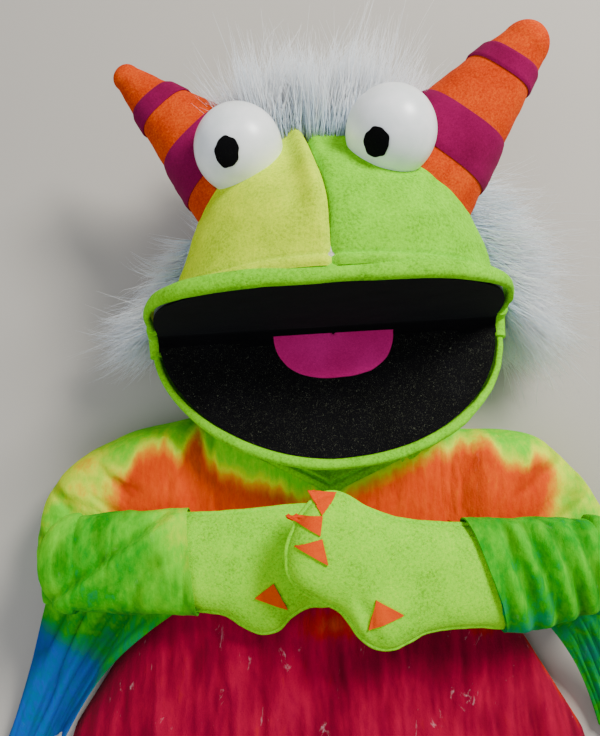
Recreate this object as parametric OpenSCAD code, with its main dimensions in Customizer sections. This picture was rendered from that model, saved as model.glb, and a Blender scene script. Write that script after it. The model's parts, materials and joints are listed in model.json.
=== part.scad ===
// Moving mouth monster puppet, lying on its back with its mouth open.
// +Z up from the table, +Y towards the crown, +X towards the puppet's left hand.
// The origin lies on the table under the breast, on the flat back of the costume.

/* [Mouth] */
// Width of the mouth plates across the hinge
mouth_w = 172; // [150:1:200]
// Depth of each mouth plate from the hinge to the lip
plate_l = 66; // [58:1:74]
// Height of the mouth hinge above the table
hinge_z = 50; // [50:1:58]
// Place of the mouth hinge along the body
hinge_y = 65; // [62:1:75]
// Tilt of the upper plate above the table
upper_tilt = 82; // [76:1:88]
// Tilt of the lower plate above the table
lower_tilt = 12; // [8:1:18]
// Thickness of the mouth boards
board_t = 2; // [1.5:0.5:3]
// Thickness of the felt that covers the boards
felt_t = 1.5; // [1:0.25:2]
// Setback of each felt face from the hinge plane
face_gap = 1.3; // [1.1:0.1:2]
// Width of the fleece lip round each plate
lip_w = 5; // [4:0.5:7]
// Width of the tongue
tongue_w = 61; // [45:1:75]
// Length of the tongue
tongue_l = 26; // [18:1:34]

/* [Head] */
// Place of the crown along the body
crown_y = 163; // [150:1:185]
// Thickness of the fleece
fleece_t = 1.6; // [1.2:0.1:2.2]
// Thickness of the foam shell
foam_t = 6; // [4:0.5:9]
// Thickness of the fur at the back of the head
fur_t = 8; // [6:0.5:12]
// Roll of the head to one side, as it lies
head_roll = 3.5; // [0:0.5:6]

/* [Eyes] */
// Diameter of each eye ball
eye_d = 40; // [32:1:46]
// Distance between the eye centres
eye_gap = 68; // [62:1:76]
// Place of the eye centres below the crown
eye_down = 20; // [14:0.5:24]
// Diameter of each felt pupil
pupil_d = 11.5; // [9:0.5:16]

/* [Horns] */
// Length of the horn on the -X side
horn_l_left = 84; // [70:1:100]
// Length of the horn on the +X side
horn_l_right = 96; // [75:1:110]
// Base radius of the horns
horn_r = 31.5; // [26:0.5:33]
// Tip radius of the horns
horn_tip_r = 7; // [5:0.5:9]

/* [Neck] */
// Width of the neck
neck_w = 100; // [90:1:108]
// Thickness of the flattened neck
neck_t = 29; // [27:1:30]
// Place of the pivot about which the head tips sideways
tilt_y = 30; // [24:1:36]

/* [Body] */
// Place of the costume's hem
hem_y = -215; // [-260:1:-190]
// Width of the costume at the hem
hem_w = 320; // [280:1:380]
// Width of the costume between the sleeves
chest_w = 176; // [170:1:186]
// Thickness of the lying body
chest_t = 38; // [38:1:40]
// Width of the inner body sock
sock_w = 140; // [130:1:150]
// Thickness of the costume cloth
cloth_t = 1.2; // [0.8:0.1:1.5]

/* [Arms] */
// Distance of the shoulder pivots from the middle
shoulder_x = 116; // [108:1:118]
// Place of the shoulder pivots along the body
shoulder_y = -14; // [-16:1:-8]
// Distance of the elbows from the middle
elbow_x = 130; // [128:1:140]
// Place of the elbows along the body
elbow_y = -52; // [-58:1:-48]
// Radius of the stuffed upper arm
arm_r = 14; // [11:0.5:15]
// Width of the forearm
forearm_w = 46; // [38:1:50]
// Thickness of the flattened forearm and hand
hand_t = 17; // [14:1:18]
// Slope of the forearm that lies on top
top_slope = 9; // [9:0.5:11]
// Length of each felt claw
claw_l = 14.5; // [10:0.5:17]

/* [Hidden] */
LEFT = -1;
RIGHT = 1;
lime = "#a6e01c";
black = "#17161a";
magenta = "#b41a6e";
orange = "#f4702a";
claw_orange = "#f2571f";
tie_dye = "#b0103c";
tie_green = "#35b31e";
foam_grey = "#d8d4c4";
board_grey = "#8d8f94";
fit = 0.3;          // gap between soft pieces that lie against each other
loft_steps = 32;    // points round a lofted ring
mouth_a = mouth_w / 2;
plate_back = face_gap + felt_t + board_t;
head_half = mouth_a + lip_w - 1;
head_rise = plate_l + lip_w;
head_drop = hinge_z - fur_t - fit;
head_base = plate_back + 2 * fit;
head_rows = [0, 0.06, 0.15, 0.3, 0.45, 0.6, 0.74, 0.86, 0.94, 0.985];
head_waist = [0.2, 0.08];   // how far the head draws in above the lips at -X and at +X
neck_z = 2 + neck_t / 2;
neck_wall = fleece_t;
nod_y = hinge_y - 5;
tilt_r = neck_w / 2 + 6;
crease_r = 1.1;     // radius of the felt fold on the hinge line
jaw_drop = 18;      // depth of the jaw below the hinge plane
eye_r = eye_d / 2;
shoulder_r = shoulder_x - chest_w / 2 - fit;
elbow_r = shoulder_r - 2;
sleeve_top = chest_t + 1.5;
forearm_z = sleeve_top + cloth_t + 2 * fit;
cuff_l = 62;        // length of the cuff along the forearm
plate_d0 = 1.5;     // distance of each plate from the hinge line
sock_t = chest_t - 5;
sock_z = chest_t / 2 - 0.8;
sock_n = 2.6;
sock_short = 45;    // distance of the sock's lower end inside the hem
hem_fall = 6;       // how much lower the costume lies at its hem

// ---------- shared shapes ----------

// Signed power, used for rounded-square outlines
function spow(v, p) = sign(v) * pow(abs(v), p);

// Point at angle t on a superellipse of half sizes a and b
function oval(t, a, b, n) = [a * spow(cos(t), 2 / n), b * spow(sin(t), 2 / n)];

// Closed outline of a superellipse
function oval_line(a, b, n, steps) = [for (i = [0 : steps - 1]) oval(i * 360 / steps, a, b, n)];

// Half-oval outline of a mouth plate from depth d0 to depth b; n holds its fullness at -X and +X
function plate_line(a, b, n, d0) = concat([[-a, d0], [a, d0]],
    [for (t = [10 : 10 : 170])
        let (k = 2 / (t > 90 ? n[0] : n[1]))
        [a * spow(cos(t), k), d0 + (b - d0) * pow(sin(t), k)]]);

function flat(rows) = [for (r = rows, p = r) p];

function mean(ring) = [for (k = [0 : 2]) [for (p = ring) p[k]] * [for (p = ring) 1] / len(ring)];

// Triangles between neighbouring rows of a grid that starts at point k0
function grid_faces(rows, cols, wrap, k0, turn) =
    [for (r = [0 : rows - 2], c = [0 : wrap ? cols - 1 : cols - 2])
        let (a = k0 + r * cols + c)
        let (b = k0 + r * cols + (c + 1) % cols)
        for (f = turn ? [[a, b, b + cols], [a, b + cols, a + cols]]
                      : [[a, b + cols, b], [a, a + cols, b + cols]]) f];

// Triangles that join point list p to point list q, end to end
function strip_faces(p, q) =
    [for (i = [0 : len(p) - 2], f = [[p[i], p[i + 1], q[i + 1]], [p[i], q[i + 1], q[i]]]) f];

// Solid through closed rings, with a fan on each end
module loft(rings) {
    rows = len(rings);
    cols = len(rings[0]);
    first = rows * cols;
    last = first + 1;
    top = (rows - 1) * cols;
    polyhedron(
        concat(flat(rings), [mean(rings[0]), mean(rings[rows - 1])]),
        concat(grid_faces(rows, cols, true, 0, true),
            [for (c = [0 : cols - 1]) [(c + 1) % cols, c, first]],
            [for (c = [0 : cols - 1]) [top + c, top + (c + 1) % cols, last]]));
}

// Thick skin between an outer and an inner grid, closed round the ring and at the last row
module cup(outer, inner) {
    rows = len(outer);
    cols = len(outer[0]);
    n = rows * cols;
    top = n - cols;
    ring = [for (c = [0 : cols]) c % cols];
    polyhedron(
        concat(flat(outer), flat(inner), [mean(outer[rows - 1]), mean(inner[rows - 1])]),
        concat(grid_faces(rows, cols, true, 0, true), grid_faces(rows, cols, true, n, false),
            strip_faces([for (c = ring) n + c], ring),
            [for (c = [0 : cols - 1]) [top + c, top + (c + 1) % cols, 2 * n]],
            [for (c = [0 : cols - 1]) [n + top + (c + 1) % cols, n + top + c, 2 * n + 1]]));
}

// Ring-shaped band between an outer and an inner grid, closed at its first and last rows
module hoop(outer, inner) {
    rows = len(outer);
    cols = len(outer[0]);
    n = rows * cols;
    top = n - cols;
    ring = [for (c = [0 : cols]) c % cols];
    polyhedron(
        concat(flat(outer), flat(inner)),
        concat(grid_faces(rows, cols, true, 0, true), grid_faces(rows, cols, true, n, false),
            strip_faces([for (c = ring) n + c], ring),
            strip_faces([for (c = ring) top + c], [for (c = ring) n + top + c])));
}

// Thick sheet between an upper and a lower grid, closed along its four edges
module sheet(upper, lower) {
    rows = len(upper);
    cols = len(upper[0]);
    n = rows * cols;
    top = n - cols;
    head = [for (c = [0 : cols - 1]) c];
    tail = [for (c = [0 : cols - 1]) top + c];
    near = [for (r = [0 : rows - 1]) r * cols];
    far = [for (r = [0 : rows - 1]) r * cols + cols - 1];
    shift = function (list) [for (v = list) v + n];
    polyhedron(
        concat(flat(upper), flat(lower)),
        concat(grid_faces(rows, cols, false, 0, true), grid_faces(rows, cols, false, n, false),
            strip_faces(shift(head), head), strip_faces(tail, shift(tail)),
            strip_faces(near, shift(near)), strip_faces(shift(far), far)));
}

// Places a piece along the line from p to q, with its own +Z on that line
module along(p, q) {
    d = q - p;
    translate(p)
        rotate([0, acos(d[2] / norm(d)), atan2(d[1], d[0])])
            children();
}

// Round-ended bar from p to q, turned from its half outline
module capsule(p, q, r) {
    length = norm(q - p);
    along(p, q)
        rotate_extrude($fn = 48)
            intersection() {
                union() {
                    circle(r = r, $fn = 48);
                    translate([0, length])
                        circle(r = r, $fn = 48);
                    translate([-r, 0])
                        square([2 * r, length]);
                }
                translate([0, -2 * r])
                    square([2 * r, length + 4 * r]);
            }
}

// ---------- places ----------

// Tips the head and neck about the neck's pivot by the roll at rest
module rolled() {
    translate([0, tilt_y, 0])
        rotate([0, 0, head_roll])
            translate([0, -tilt_y, 0])
                children();
}

// Frame of the upper plate: +Y from hinge to lip, +Z into the mouth
module upper_place() {
    rolled()
        translate([0, hinge_y, hinge_z])
            rotate([upper_tilt, 0, 0])
                children();
}

// Frame of the lower plate: +Y from hinge to lip, +Z into the mouth
module lower_place() {
    rolled()
        translate([0, hinge_y, hinge_z])
            rotate([180 - lower_tilt, 0, 0])
                mirror([0, 0, 1])
                    children();
}

// ---------- head ----------

// Half width of the head at a share h of its depth, on the -X or +X side: full at the lips, drawn in above them
function head_side(h, side, inset) =
    let (waist = side < 0 ? head_waist[0] : head_waist[1])
    (head_half - inset) * pow(1 - pow(h, 1.9), 0.55) * (1 - waist * (1 - exp(-h / 0.07)) * (1 - pow(h, 3)));

// Point on the head: h runs from the neck and mouth to the crown, t goes round, inset goes inwards
function head_point(h, t, inset) =
    let (side = head_side(h, cos(t), inset))
    let (front = (head_rise - inset) * pow(1 - pow(h, 1.9), 0.5))
    let (back = (head_drop - inset) * pow(1 - pow(h, 2.5), 0.5))
    let (z = hinge_z + (sin(t) > 0 ? front : back) * spow(sin(t), 2 / 2.2))
    let (base = hinge_y + head_base + max(0, z - hinge_z) / tan(upper_tilt))
    [side * spow(cos(t), 2 / 2.2), base + (crown_y - inset - base) * h, z];

function head_ring(h, t0, t1, steps, inset) =
    [for (i = [0 : steps]) head_point(h, t0 + (t1 - t0) * i / steps, inset)];

// Whole rings of the head at one inset
function head_form(inset) =
    [for (h = head_rows) head_ring(h, 0, 360 - 360 / loft_steps, loft_steps - 1, inset)];

// Solid inside the outer head form, grown by gap
module head_solid(gap) {
    loft(head_form(-gap));
}

// Half of the fleece, from the middle seam at the top round to the back
module head_skin(side) {
    t0 = side == RIGHT ? -90 : 90;
    upper = [for (h = head_rows) head_ring(h, t0, t0 + 180, loft_steps / 2, 0)];
    lower = [for (h = head_rows) head_ring(h, t0, t0 + 180, loft_steps / 2, fleece_t)];
    color(lime)
        rolled()
            sheet(upper, lower);
}

module head_foam() {
    color(foam_grey)
        rolled()
            cup(head_form(fleece_t + fit), head_form(fleece_t + fit + foam_t));
}

// Plate outline that narrows evenly from the hinge to the lip
function narrowed(line, taper) = [for (p = line) [p[0] * (1 - taper * p[1] / plate_l), p[1]]];

// Flat ring of fleece rolled round the edge of a mouth plate
module lip_roll(n, taper) {
    translate([0, 0, -plate_back])
        linear_extrude(plate_back - fit)
            difference() {
                polygon(narrowed(plate_line(mouth_a + lip_w, plate_l + lip_w, n, 1), taper));
                polygon(narrowed(plate_line(mouth_a + 2 * fit, plate_l + 2 * fit, n, plate_d0), taper));
                translate([-mouth_a - 2 * fit, 0])
                    square([mouth_w + 4 * fit, plate_d0 + fit]);
            }
}

// Mouth plate layer of thickness t whose face is deep behind the hinge plane
module plate_layer(n, deep, t, taper) {
    translate([0, 0, -deep - t])
        linear_extrude(t)
            polygon(narrowed(plate_line(mouth_a, plate_l, n, plate_d0), taper));
}

upper_n = [3.2, 3.2];
lower_n = [1.8, 2.1];
upper_taper = 0.05; // share by which the upper plate is narrower at the lip than at the hinge

module upper_lip_roll() {
    color(lime)
        upper_place()
            lip_roll(upper_n, upper_taper);
}

module upper_mouth_board() {
    color(board_grey)
        upper_place()
            plate_layer(upper_n, face_gap + felt_t, board_t, upper_taper);
}

module upper_mouth_felt() {
    color(black)
        upper_place()
            plate_layer(upper_n, face_gap, felt_t, upper_taper);
}

// Round fold of felt on the hinge line
module mouth_crease() {
    color(black)
        upper_place()
            rotate([0, 90, 0])
                cylinder(h = mouth_w - 4, r = crease_r, center = true, $fn = 48);
}

// Loop of webbing behind a board: inside width w and height h, band from depth d0 to d1
module strap_loop(w, h, d0, d1, wall) {
    translate([0, d0, -plate_back - h - wall - fit])
        difference() {
            translate([-w / 2 - wall, 0, 0])
                cube([w + 2 * wall, d1 - d0, h + wall]);
            translate([-w / 2, -1, wall])
                cube([w, d1 - d0 + 2, h + 1]);
        }
}

finger_strap_w = 84;
finger_strap_h = 20;

module finger_strap() {
    color(black)
        upper_place()
            strap_loop(finger_strap_w, finger_strap_h, 18, 43, fleece_t);
}

// Fur pad on the back of the head from angle t0 to t1
module fur_back() {
    rows = [for (h = head_rows) if (h < 0.95) h];
    upper = [for (h = rows) head_ring(h, 200, 340, 14, -fur_t)];
    lower = [for (h = rows) head_ring(h, 200, 340, 14, -fit)];
    color("#cfe0ee")
        rolled()
            sheet(upper, lower);
}

// Tuft that stands up from behind the crown
module fur_crown() {
    crown_z = hinge_z - 14;
    color("#cfe0ee")
        rolled()
            difference() {
                hull() {
                    translate([0, crown_y - 12, crown_z])
                        scale([1.9, 1, 0.9])
                            sphere(r = 22, $fn = 24);
                    translate([6, crown_y + 34, crown_z - 4])
                        scale([1.9, 1, 0.7])
                            sphere(r = 16, $fn = 24);
                }
                head_solid(fit);
                fur_clear();
            }
}

// Room taken by the fur at the back, so that tufts lie against it
module fur_clear() {
    rows = [for (h = head_rows) if (h < 0.95) h];
    upper = [for (h = rows) head_ring(h, 197, 343, 14, -fur_t - 2 * fit)];
    lower = [for (h = rows) head_ring(h, 197, 343, 14, 8)];
    sheet(upper, lower);
}

// Tuft at one side of the head, between the cheek and the table
module fur_side(side) {
    color("#cfe0ee")
        rolled()
            difference() {
                hull() {
                    translate([side * (head_half - 12), hinge_y + 40, 26])
                        scale([1, 1.5, 0.9])
                            sphere(r = 20, $fn = 24);
                    translate([side * (head_half + 24), hinge_y + 32, 16])
                        scale([1, 1.9, 0.9])
                            sphere(r = 13, $fn = 24);
                }
                head_solid(fit);
                fur_clear();
            }
}

// ---------- eyes ----------

// Height of the head's outer surface above the table at a place in front of the crown
function brow_z(x, y) =
    let (h = (y - hinge_y - head_base) / (crown_y - hinge_y - head_base))
    let (side = head_side(h, x, 0))
    let (front = head_rise * pow(1 - pow(h, 1.9), 0.5))
    hinge_z + front * pow(1 - pow(abs(x) / side, 2.2), 1 / 2.2);

function eye_centre(side) =
    let (x = side * eye_gap / 2)
    let (y = crown_y - eye_down)
    [x - eye_shift, y, brow_z(x, y) + 0.8 * eye_r + side * eye_skew];

eye_shift = 3;      // how far both eyes sit to the -X side
eye_skew = 3;       // how much higher the eye on the +X side stands

// Direction in which an eye looks
function gaze(side) = side == LEFT ? [-0.18, -0.45, 0.87] : [-0.45, -0.54, 0.71];

module eye(side) {
    color("#f2f3ee")
        rolled()
            difference() {
                translate(eye_centre(side))
                    sphere(r = eye_r, $fn = 64);
                head_solid(fit);
            }
}

// Thin felt cap on the front of the eye ball
module pupil(side) {
    color(black)
        rolled()
            translate(eye_centre(side))
                along([0, 0, 0], gaze(side))
                    intersection() {
                        difference() {
                            sphere(r = eye_r + 1, $fn = 64);
                            sphere(r = eye_r + 0.1, $fn = 64);
                        }
                        cylinder(h = eye_d, d = pupil_d, $fn = 48);
                    }
}

// ---------- horns ----------

// Middle of a horn's base, inside the head, and the way it points
function horn_root(side) = side == LEFT ? [-37, crown_y - 25, hinge_z + 18] : [42, crown_y - 36, hinge_z + 20];
function horn_way(side) = side == LEFT ? [-0.70, 0.70, 0.06] : [0.67, 0.71, 0.24];
function horn_l(side) = side == LEFT ? horn_l_left : horn_l_right;
function horn_radius(side) = side == LEFT ? horn_r : horn_r + 3;
function horn_tip(side) = side == LEFT ? horn_tip_r : horn_tip_r + 4.5;
horn_flat = 0.75;   // height of a horn's cross-section over its width

// Ring of a horn at share s of its length, grown by gap; beyond 1 it rounds over the tip
function horn_ring(side, s, gap) =
    let (tip = horn_tip(side))
    let (length = horn_l(side) - tip)
    let (r = s < 1 ? horn_radius(side) + (tip - horn_radius(side)) * s + gap : (tip + gap) * cos((s - 1) * 90))
    let (z = s < 1 ? s * length : length + (tip + gap) * sin((s - 1) * 90))
    [for (t = [0 : 360 / loft_steps : 359]) [horn_flat * r * cos(t), -r * sin(t), z]];

function horn_rings(side, gap) = [for (s = [0, 0.25, 0.5, 0.75, 1, 1.3, 1.6, 1.85]) horn_ring(side, s, gap)];

module horn_place(side) {
    along(horn_root(side), horn_root(side) + horn_way(side) * 10)
        children();
}

// Room taken by the head and the eye beside a horn
module horn_clear(side) {
    head_solid(fit);
    translate(eye_centre(side))
        sphere(r = eye_r + fit, $fn = 64);
}

module horn_skin(side) {
    color(orange)
        rolled()
            difference() {
                horn_place(side)
                    cup(horn_rings(side, 0), horn_rings(side, -fleece_t));
                horn_clear(side);
            }
}

module horn_fill(side) {
    color(foam_grey)
        rolled()
            difference() {
                horn_place(side)
                    loft(horn_rings(side, -fleece_t - fit));
                horn_clear(side);
            }
}

// Felt band glued round the horn from share s0 to share s1 of its length
module horn_band(side, s0, s1) {
    color(magenta)
        rolled()
            difference() {
                horn_place(side)
                    hoop([for (s = [s0, s1]) horn_ring(side, s, felt_t)],
                        [for (s = [s0, s1]) horn_ring(side, s, fit / 2)]);
                horn_clear(side);
            }
}

// ---------- jaw ----------

// Rings of the jaw's bowl in the lower plate's frame, drawn inwards by inset
function jaw_ring(k, w, inset) =
    let (line = plate_line(mouth_a + lip_w - inset, plate_l + lip_w - inset, lower_n, 4 + inset))
    [for (p = line) [p[0] * k, 30 + (p[1] - 30) * k, -w]];

function jaw_form(inset) =
    [for (s = [[1, plate_back + fit], [0.97, 9], [0.88, 13], [0.68, jaw_drop - 2], [0.35, jaw_drop]])
        jaw_ring(s[0], s[1] - (s[0] < 1 ? inset : 0), inset)];

module jaw_skin() {
    color(lime)
        lower_place()
            mirror([0, 0, 1])
                cup([for (r = jaw_form(0)) [for (p = r) [p[0], p[1], -p[2]]]],
                    [for (r = jaw_form(fleece_t)) [for (p = r) [p[0], p[1], -p[2]]]]);
}

// Crescent of foam that fills the chin in front of the thumb
module chin_foam() {
    color(foam_grey)
        lower_place()
            translate([0, 0, -plate_back - fit - 5])
                linear_extrude(5)
                    intersection() {
                        polygon(plate_line(mouth_a * 0.9, plate_l * 0.93, lower_n, 2));
                        translate([-mouth_a, plate_l * 0.74])
                            square([mouth_w, plate_l]);
                    }
}

module lower_lip_roll() {
    color(lime)
        lower_place()
            lip_roll(lower_n, 0);
}

module lower_mouth_board() {
    color(board_grey)
        lower_place()
            plate_layer(lower_n, face_gap + felt_t, board_t, 0);
}

module lower_mouth_felt() {
    color(black)
        lower_place()
            plate_layer(lower_n, face_gap, felt_t, 0);
}

tongue_shift = 3;   // how far the tongue sits to the +X side

module tongue() {
    color(magenta)
        lower_place()
            translate([tongue_shift, 0, -face_gap])
                linear_extrude(felt_t)
                    polygon(plate_line(tongue_w / 2, tongue_l, [2.2, 2.2], 2.5));
}

thumb_strap_w = 34;
thumb_strap_h = jaw_drop - plate_back - 2 * fleece_t - 3 * fit - 1;

module thumb_strap() {
    color(black)
        lower_place()
            strap_loop(thumb_strap_w, thumb_strap_h, 20, 40, fleece_t);
}

// ---------- neck ----------

// Flattened tube along Y from y0 to y1, its middle at height z
module flat_tube(w, t, n, z, wall, y0, y1) {
    translate([0, y0, z])
        rotate([-90, 0, 0])
            linear_extrude(y1 - y0)
                difference() {
                    polygon(oval_line(w / 2, t / 2, n, 48));
                    polygon(oval_line(w / 2 - wall, t / 2 - wall, n, 48));
                }
}

// Drum across the neck whose axis is the line the head nods about
module nod_drum(r) {
    translate([0, nod_y, neck_z])
        rotate([0, 90, 0])
            cylinder(h = neck_w + 20, r = r, center = true, $fn = 64);
}

// Upper end of the neck, that the head turns on
module neck_band() {
    color(lime)
        rolled()
            intersection() {
                flat_tube(neck_w, neck_t, 2.4, neck_z, neck_wall, 0, hinge_y + head_base - fit);
                union() {
                    nod_drum(neck_t / 2);
                    translate([-neck_w, nod_y, -neck_t])
                        cube([2 * neck_w, neck_w, 4 * neck_t]);
                }
            }
}

module neck_sock() {
    color(lime)
        rolled()
            difference() {
                flat_tube(neck_w, neck_t, 2.4, neck_z, neck_wall, tilt_y - tilt_r - 2, nod_y);
                nod_drum(neck_t / 2 + fit);
                difference() {
                    translate([-neck_w, tilt_y - 2 * tilt_r, -neck_t])
                        cube([2 * neck_w, 2 * tilt_r, 4 * neck_t]);
                    translate([0, tilt_y, -neck_t])
                        cylinder(h = 4 * neck_t, r = tilt_r, $fn = 96);
                }
            }
}

// ---------- body ----------

// Fleece tube that the arm of the puppeteer goes up, under the costume
module body_sock() {
    color(lime)
        difference() {
            flat_tube(sock_w, sock_t, sock_n, sock_z, fleece_t, hem_y + sock_short, tilt_y - 20);
            translate([0, tilt_y, -1])
                cylinder(h = chest_t + 2, r = tilt_r + fit, $fn = 96);
        }
}

neckline_y = -20;
neckline_rise = 34;
neckline_w = 140;

// Half width of the costume at a place along the body
function shirt_half(y) = lookup(y, [[hem_y, hem_w / 2], [-150, 0.44 * hem_w], [-85, chest_w / 2 + 12],
    [-30, chest_w / 2], [0, chest_w / 2], [24, chest_w / 2 - 20]]);

// Height of the costume's front over the table
function shirt_z(x, y) =
    let (t = lookup(y, [[hem_y, chest_t - hem_fall], [hem_y + sock_short - 5, chest_t]]))
    let (k = min(1, abs(x) / shirt_half(y)))
    2 * cloth_t + 2 + (t - 2 * cloth_t - 2) * pow(1 - pow(k, 4), 0.5);

function shirt_top(x) = neckline_y + neckline_rise * min(1, 2 * abs(x) / neckline_w);

// Grid of the costume's front, lowered by drop
function shirt_grid(drop) =
    [for (j = [0 : 12]) [for (i = [0 : 20])
        let (u = i / 10 - 1)
        let (y = hem_y + (shirt_top(u * chest_w / 2) - hem_y) * j / 12)
        let (x = u * shirt_half(y))
        [x, y, shirt_z(x, y) - drop]]];

module shirt_front() {
    color(tie_dye)
        sheet(shirt_grid(0), shirt_grid(cloth_t));
}

module shirt_back() {
    color(tie_dye)
        linear_extrude(cloth_t)
            polygon([for (side = [LEFT, RIGHT], k = side == LEFT ? [0 : 6] : [6 : -1 : 0])
                let (y = hem_y + (neckline_y + neckline_rise - hem_y) * k / 6)
                [side * shirt_half(y), y]]);
}

// ---------- arms ----------

arm_z = cloth_t + arm_r + fit;

function shoulder(side) = [side * shoulder_x, shoulder_y, arm_z];
function elbow(side) = [side * elbow_x, elbow_y, arm_z];

module upper_arm_skin(side) {
    color(lime)
        difference() {
            capsule(shoulder(side), elbow(side), arm_r);
            capsule(shoulder(side), elbow(side), arm_r - fleece_t);
        }
}

module upper_arm_fill(side) {
    color(foam_grey)
        capsule(shoulder(side), elbow(side), arm_r - fleece_t - fit);
}

// Outline of the upper sleeve from shoulder to elbow, drawn inwards by inset
module sleeve_outline(side, inset) {
    hull() {
        translate([side * shoulder_x, shoulder_y])
            circle(r = shoulder_r - inset, $fn = 48);
        translate([side * elbow_x, elbow_y])
            circle(r = elbow_r - inset, $fn = 48);
    }
}

// Upper sleeve: an envelope of cloth round the upper arm, open towards the drape
module sleeve(side) {
    color(tie_green)
        difference() {
            linear_extrude(sleeve_top)
                sleeve_outline(side, 0);
            translate([0, 0, cloth_t])
                linear_extrude(sleeve_top - 2 * cloth_t)
                    sleeve_outline(side, cloth_t);
            translate([side * (elbow_x + 4) - elbow_r, elbow_y - 2 * elbow_r, cloth_t])
                cube([2 * elbow_r, 1.5 * elbow_r, sleeve_top - 2 * cloth_t]);
        }
}

drape_end = [182, -172];

// Height of the drape's underside: over the costume near the body, on the table beyond it
function drape_low(x, y) =
    let (k = abs(x) / (shirt_half(y) + 6))
    k < 1 ? shirt_z(x, y) + 2 : 0;

// Hanging end of the bell sleeve, from below the elbow out to the table
module sleeve_drape(side) {
    top_y = elbow_y - elbow_r - fit;
    near = [[elbow_x - 26, top_y], [elbow_x + 24, top_y]];
    far = [[drape_end[0] - 40, drape_end[1] + 22], [drape_end[0], drape_end[1]]];
    upper = [for (j = [0 : 6]) [for (i = [0 : 6])
        let (p = near[0] + (near[1] - near[0]) * i / 6)
        let (q = far[0] + (far[1] - far[0]) * i / 6)
        let (at = p + (q - p) * j / 6)
        let (x = side == LEFT ? -at[0] : at[0])
        [x, at[1], drape_low(x, at[1]) + 3 + 5 * (1 - j / 6)]]];
    lower = [for (row = upper) [for (p = row) [p[0], p[1], drape_low(p[0], p[1])]]];
    color("#1e8fd0")
        if (side == LEFT)
            sheet([for (row = upper) [for (k = [6 : -1 : 0]) row[k]]],
                [for (row = lower) [for (k = [6 : -1 : 0]) row[k]]]);
        else
            sheet(upper, lower);
}

// ---------- forearms and hands ----------

hand_reach = 152;
hand_y_left = 7;
hand_y_right = 10;

// Frame of a forearm: the origin on the elbow pivot at the arm's underside, +X towards the fingers
module forearm_place(side) {
    lift = side == LEFT ? 0 : forearm_w / 2 * sin(top_slope);
    translate([side * elbow_x, elbow_y, forearm_z + lift])
        if (side == LEFT)
            children();
        else
            mirror([1, 0, 0])
                rotate([0, -top_slope, 0])
                    children();
}

// Outline of the forearm and mitten, drawn inwards by inset
module mitten_outline(side, inset) {
    rise = side == LEFT ? hand_y_left : hand_y_right;
    half = forearm_w / 2;
    hull() {
        circle(r = half - 2 - inset, $fn = 40);
        translate([70, rise / 3])
            circle(r = half - 1 - inset, $fn = 40);
    }
    hull() {
        translate([70, rise / 3])
            circle(r = half - 1 - inset, $fn = 40);
        translate([hand_reach - half - 3, rise])
            circle(r = half + 3 - inset, $fn = 40);
    }
    hull() {
        translate([100, rise / 2])
            circle(r = 12 - inset, $fn = 32);
        translate([104, -half - 4])
            circle(r = 12 - inset, $fn = 32);
    }
}

// Half shell of the mitten: the palm below or the back of the hand above
module mitten_half(side, low) {
    seam = hand_t / 2;
    color(lime)
        forearm_place(side)
            difference() {
                translate([0, 0, low ? 0 : seam])
                    linear_extrude(hand_t / 2)
                        mitten_outline(side, 0);
                translate([0, 0, low ? fleece_t : seam - 1])
                    linear_extrude(hand_t / 2 + 1 - fleece_t)
                        mitten_outline(side, fleece_t);
            }
}

module hand_fill(side) {
    inset = fleece_t + fit;
    color(foam_grey)
        forearm_place(side)
            translate([0, 0, inset])
                linear_extrude(hand_t - 2 * inset)
                    mitten_outline(side, inset);
}

// One triangular felt claw lying on the back of the hand, its point along angle a
module claw(at, a) {
    translate([at[0], at[1], hand_t])
        rotate([0, 0, a])
            linear_extrude(felt_t * 0.6)
                polygon([[0, -claw_l * 0.42], [claw_l, 0], [0, claw_l * 0.42]]);
}

module finger_claws(side) {
    rise = side == LEFT ? hand_y_left : hand_y_right;
    tip = hand_reach - 20;
    color(claw_orange)
        forearm_place(side)
            for (k = [-1 : 1])
                claw([tip - 2 * abs(k), rise + k * 13.5], k * 12);
}

module thumb_claw(side) {
    color(claw_orange)
        forearm_place(side)
            claw([106, -forearm_w / 2 - 8], side == LEFT ? -60 : -120);
}

// Lower end of the sleeve round the forearm
module sleeve_cuff(side) {
    grow = 2 * fit + cloth_t;
    color(tie_green)
        forearm_place(side)
            difference() {
                translate([0, 0, -grow])
                    linear_extrude(hand_t + 2 * grow)
                        cuff_outline(side, grow);
                translate([0, 0, -grow + cloth_t])
                    linear_extrude(hand_t + 2 * grow - 2 * cloth_t)
                        cuff_outline(side, grow - cloth_t);
                translate([cuff_l - 1, -forearm_w, -grow + cloth_t])
                    cube([10, 2 * forearm_w, hand_t + 2 * grow - 2 * cloth_t]);
            }
}

// Outline of the forearm up to the cuff edge, grown by gap
module cuff_outline(side, gap) {
    rise = side == LEFT ? hand_y_left : hand_y_right;
    half = forearm_w / 2;
    intersection() {
        hull() {
            circle(r = half - 2 + gap, $fn = 40);
            translate([70, rise / 3])
                circle(r = half - 1 + gap, $fn = 40);
        }
        translate([-2 * half, -2 * half])
            square([cuff_l + 2 * half, 4 * half]);
    }
}

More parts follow.
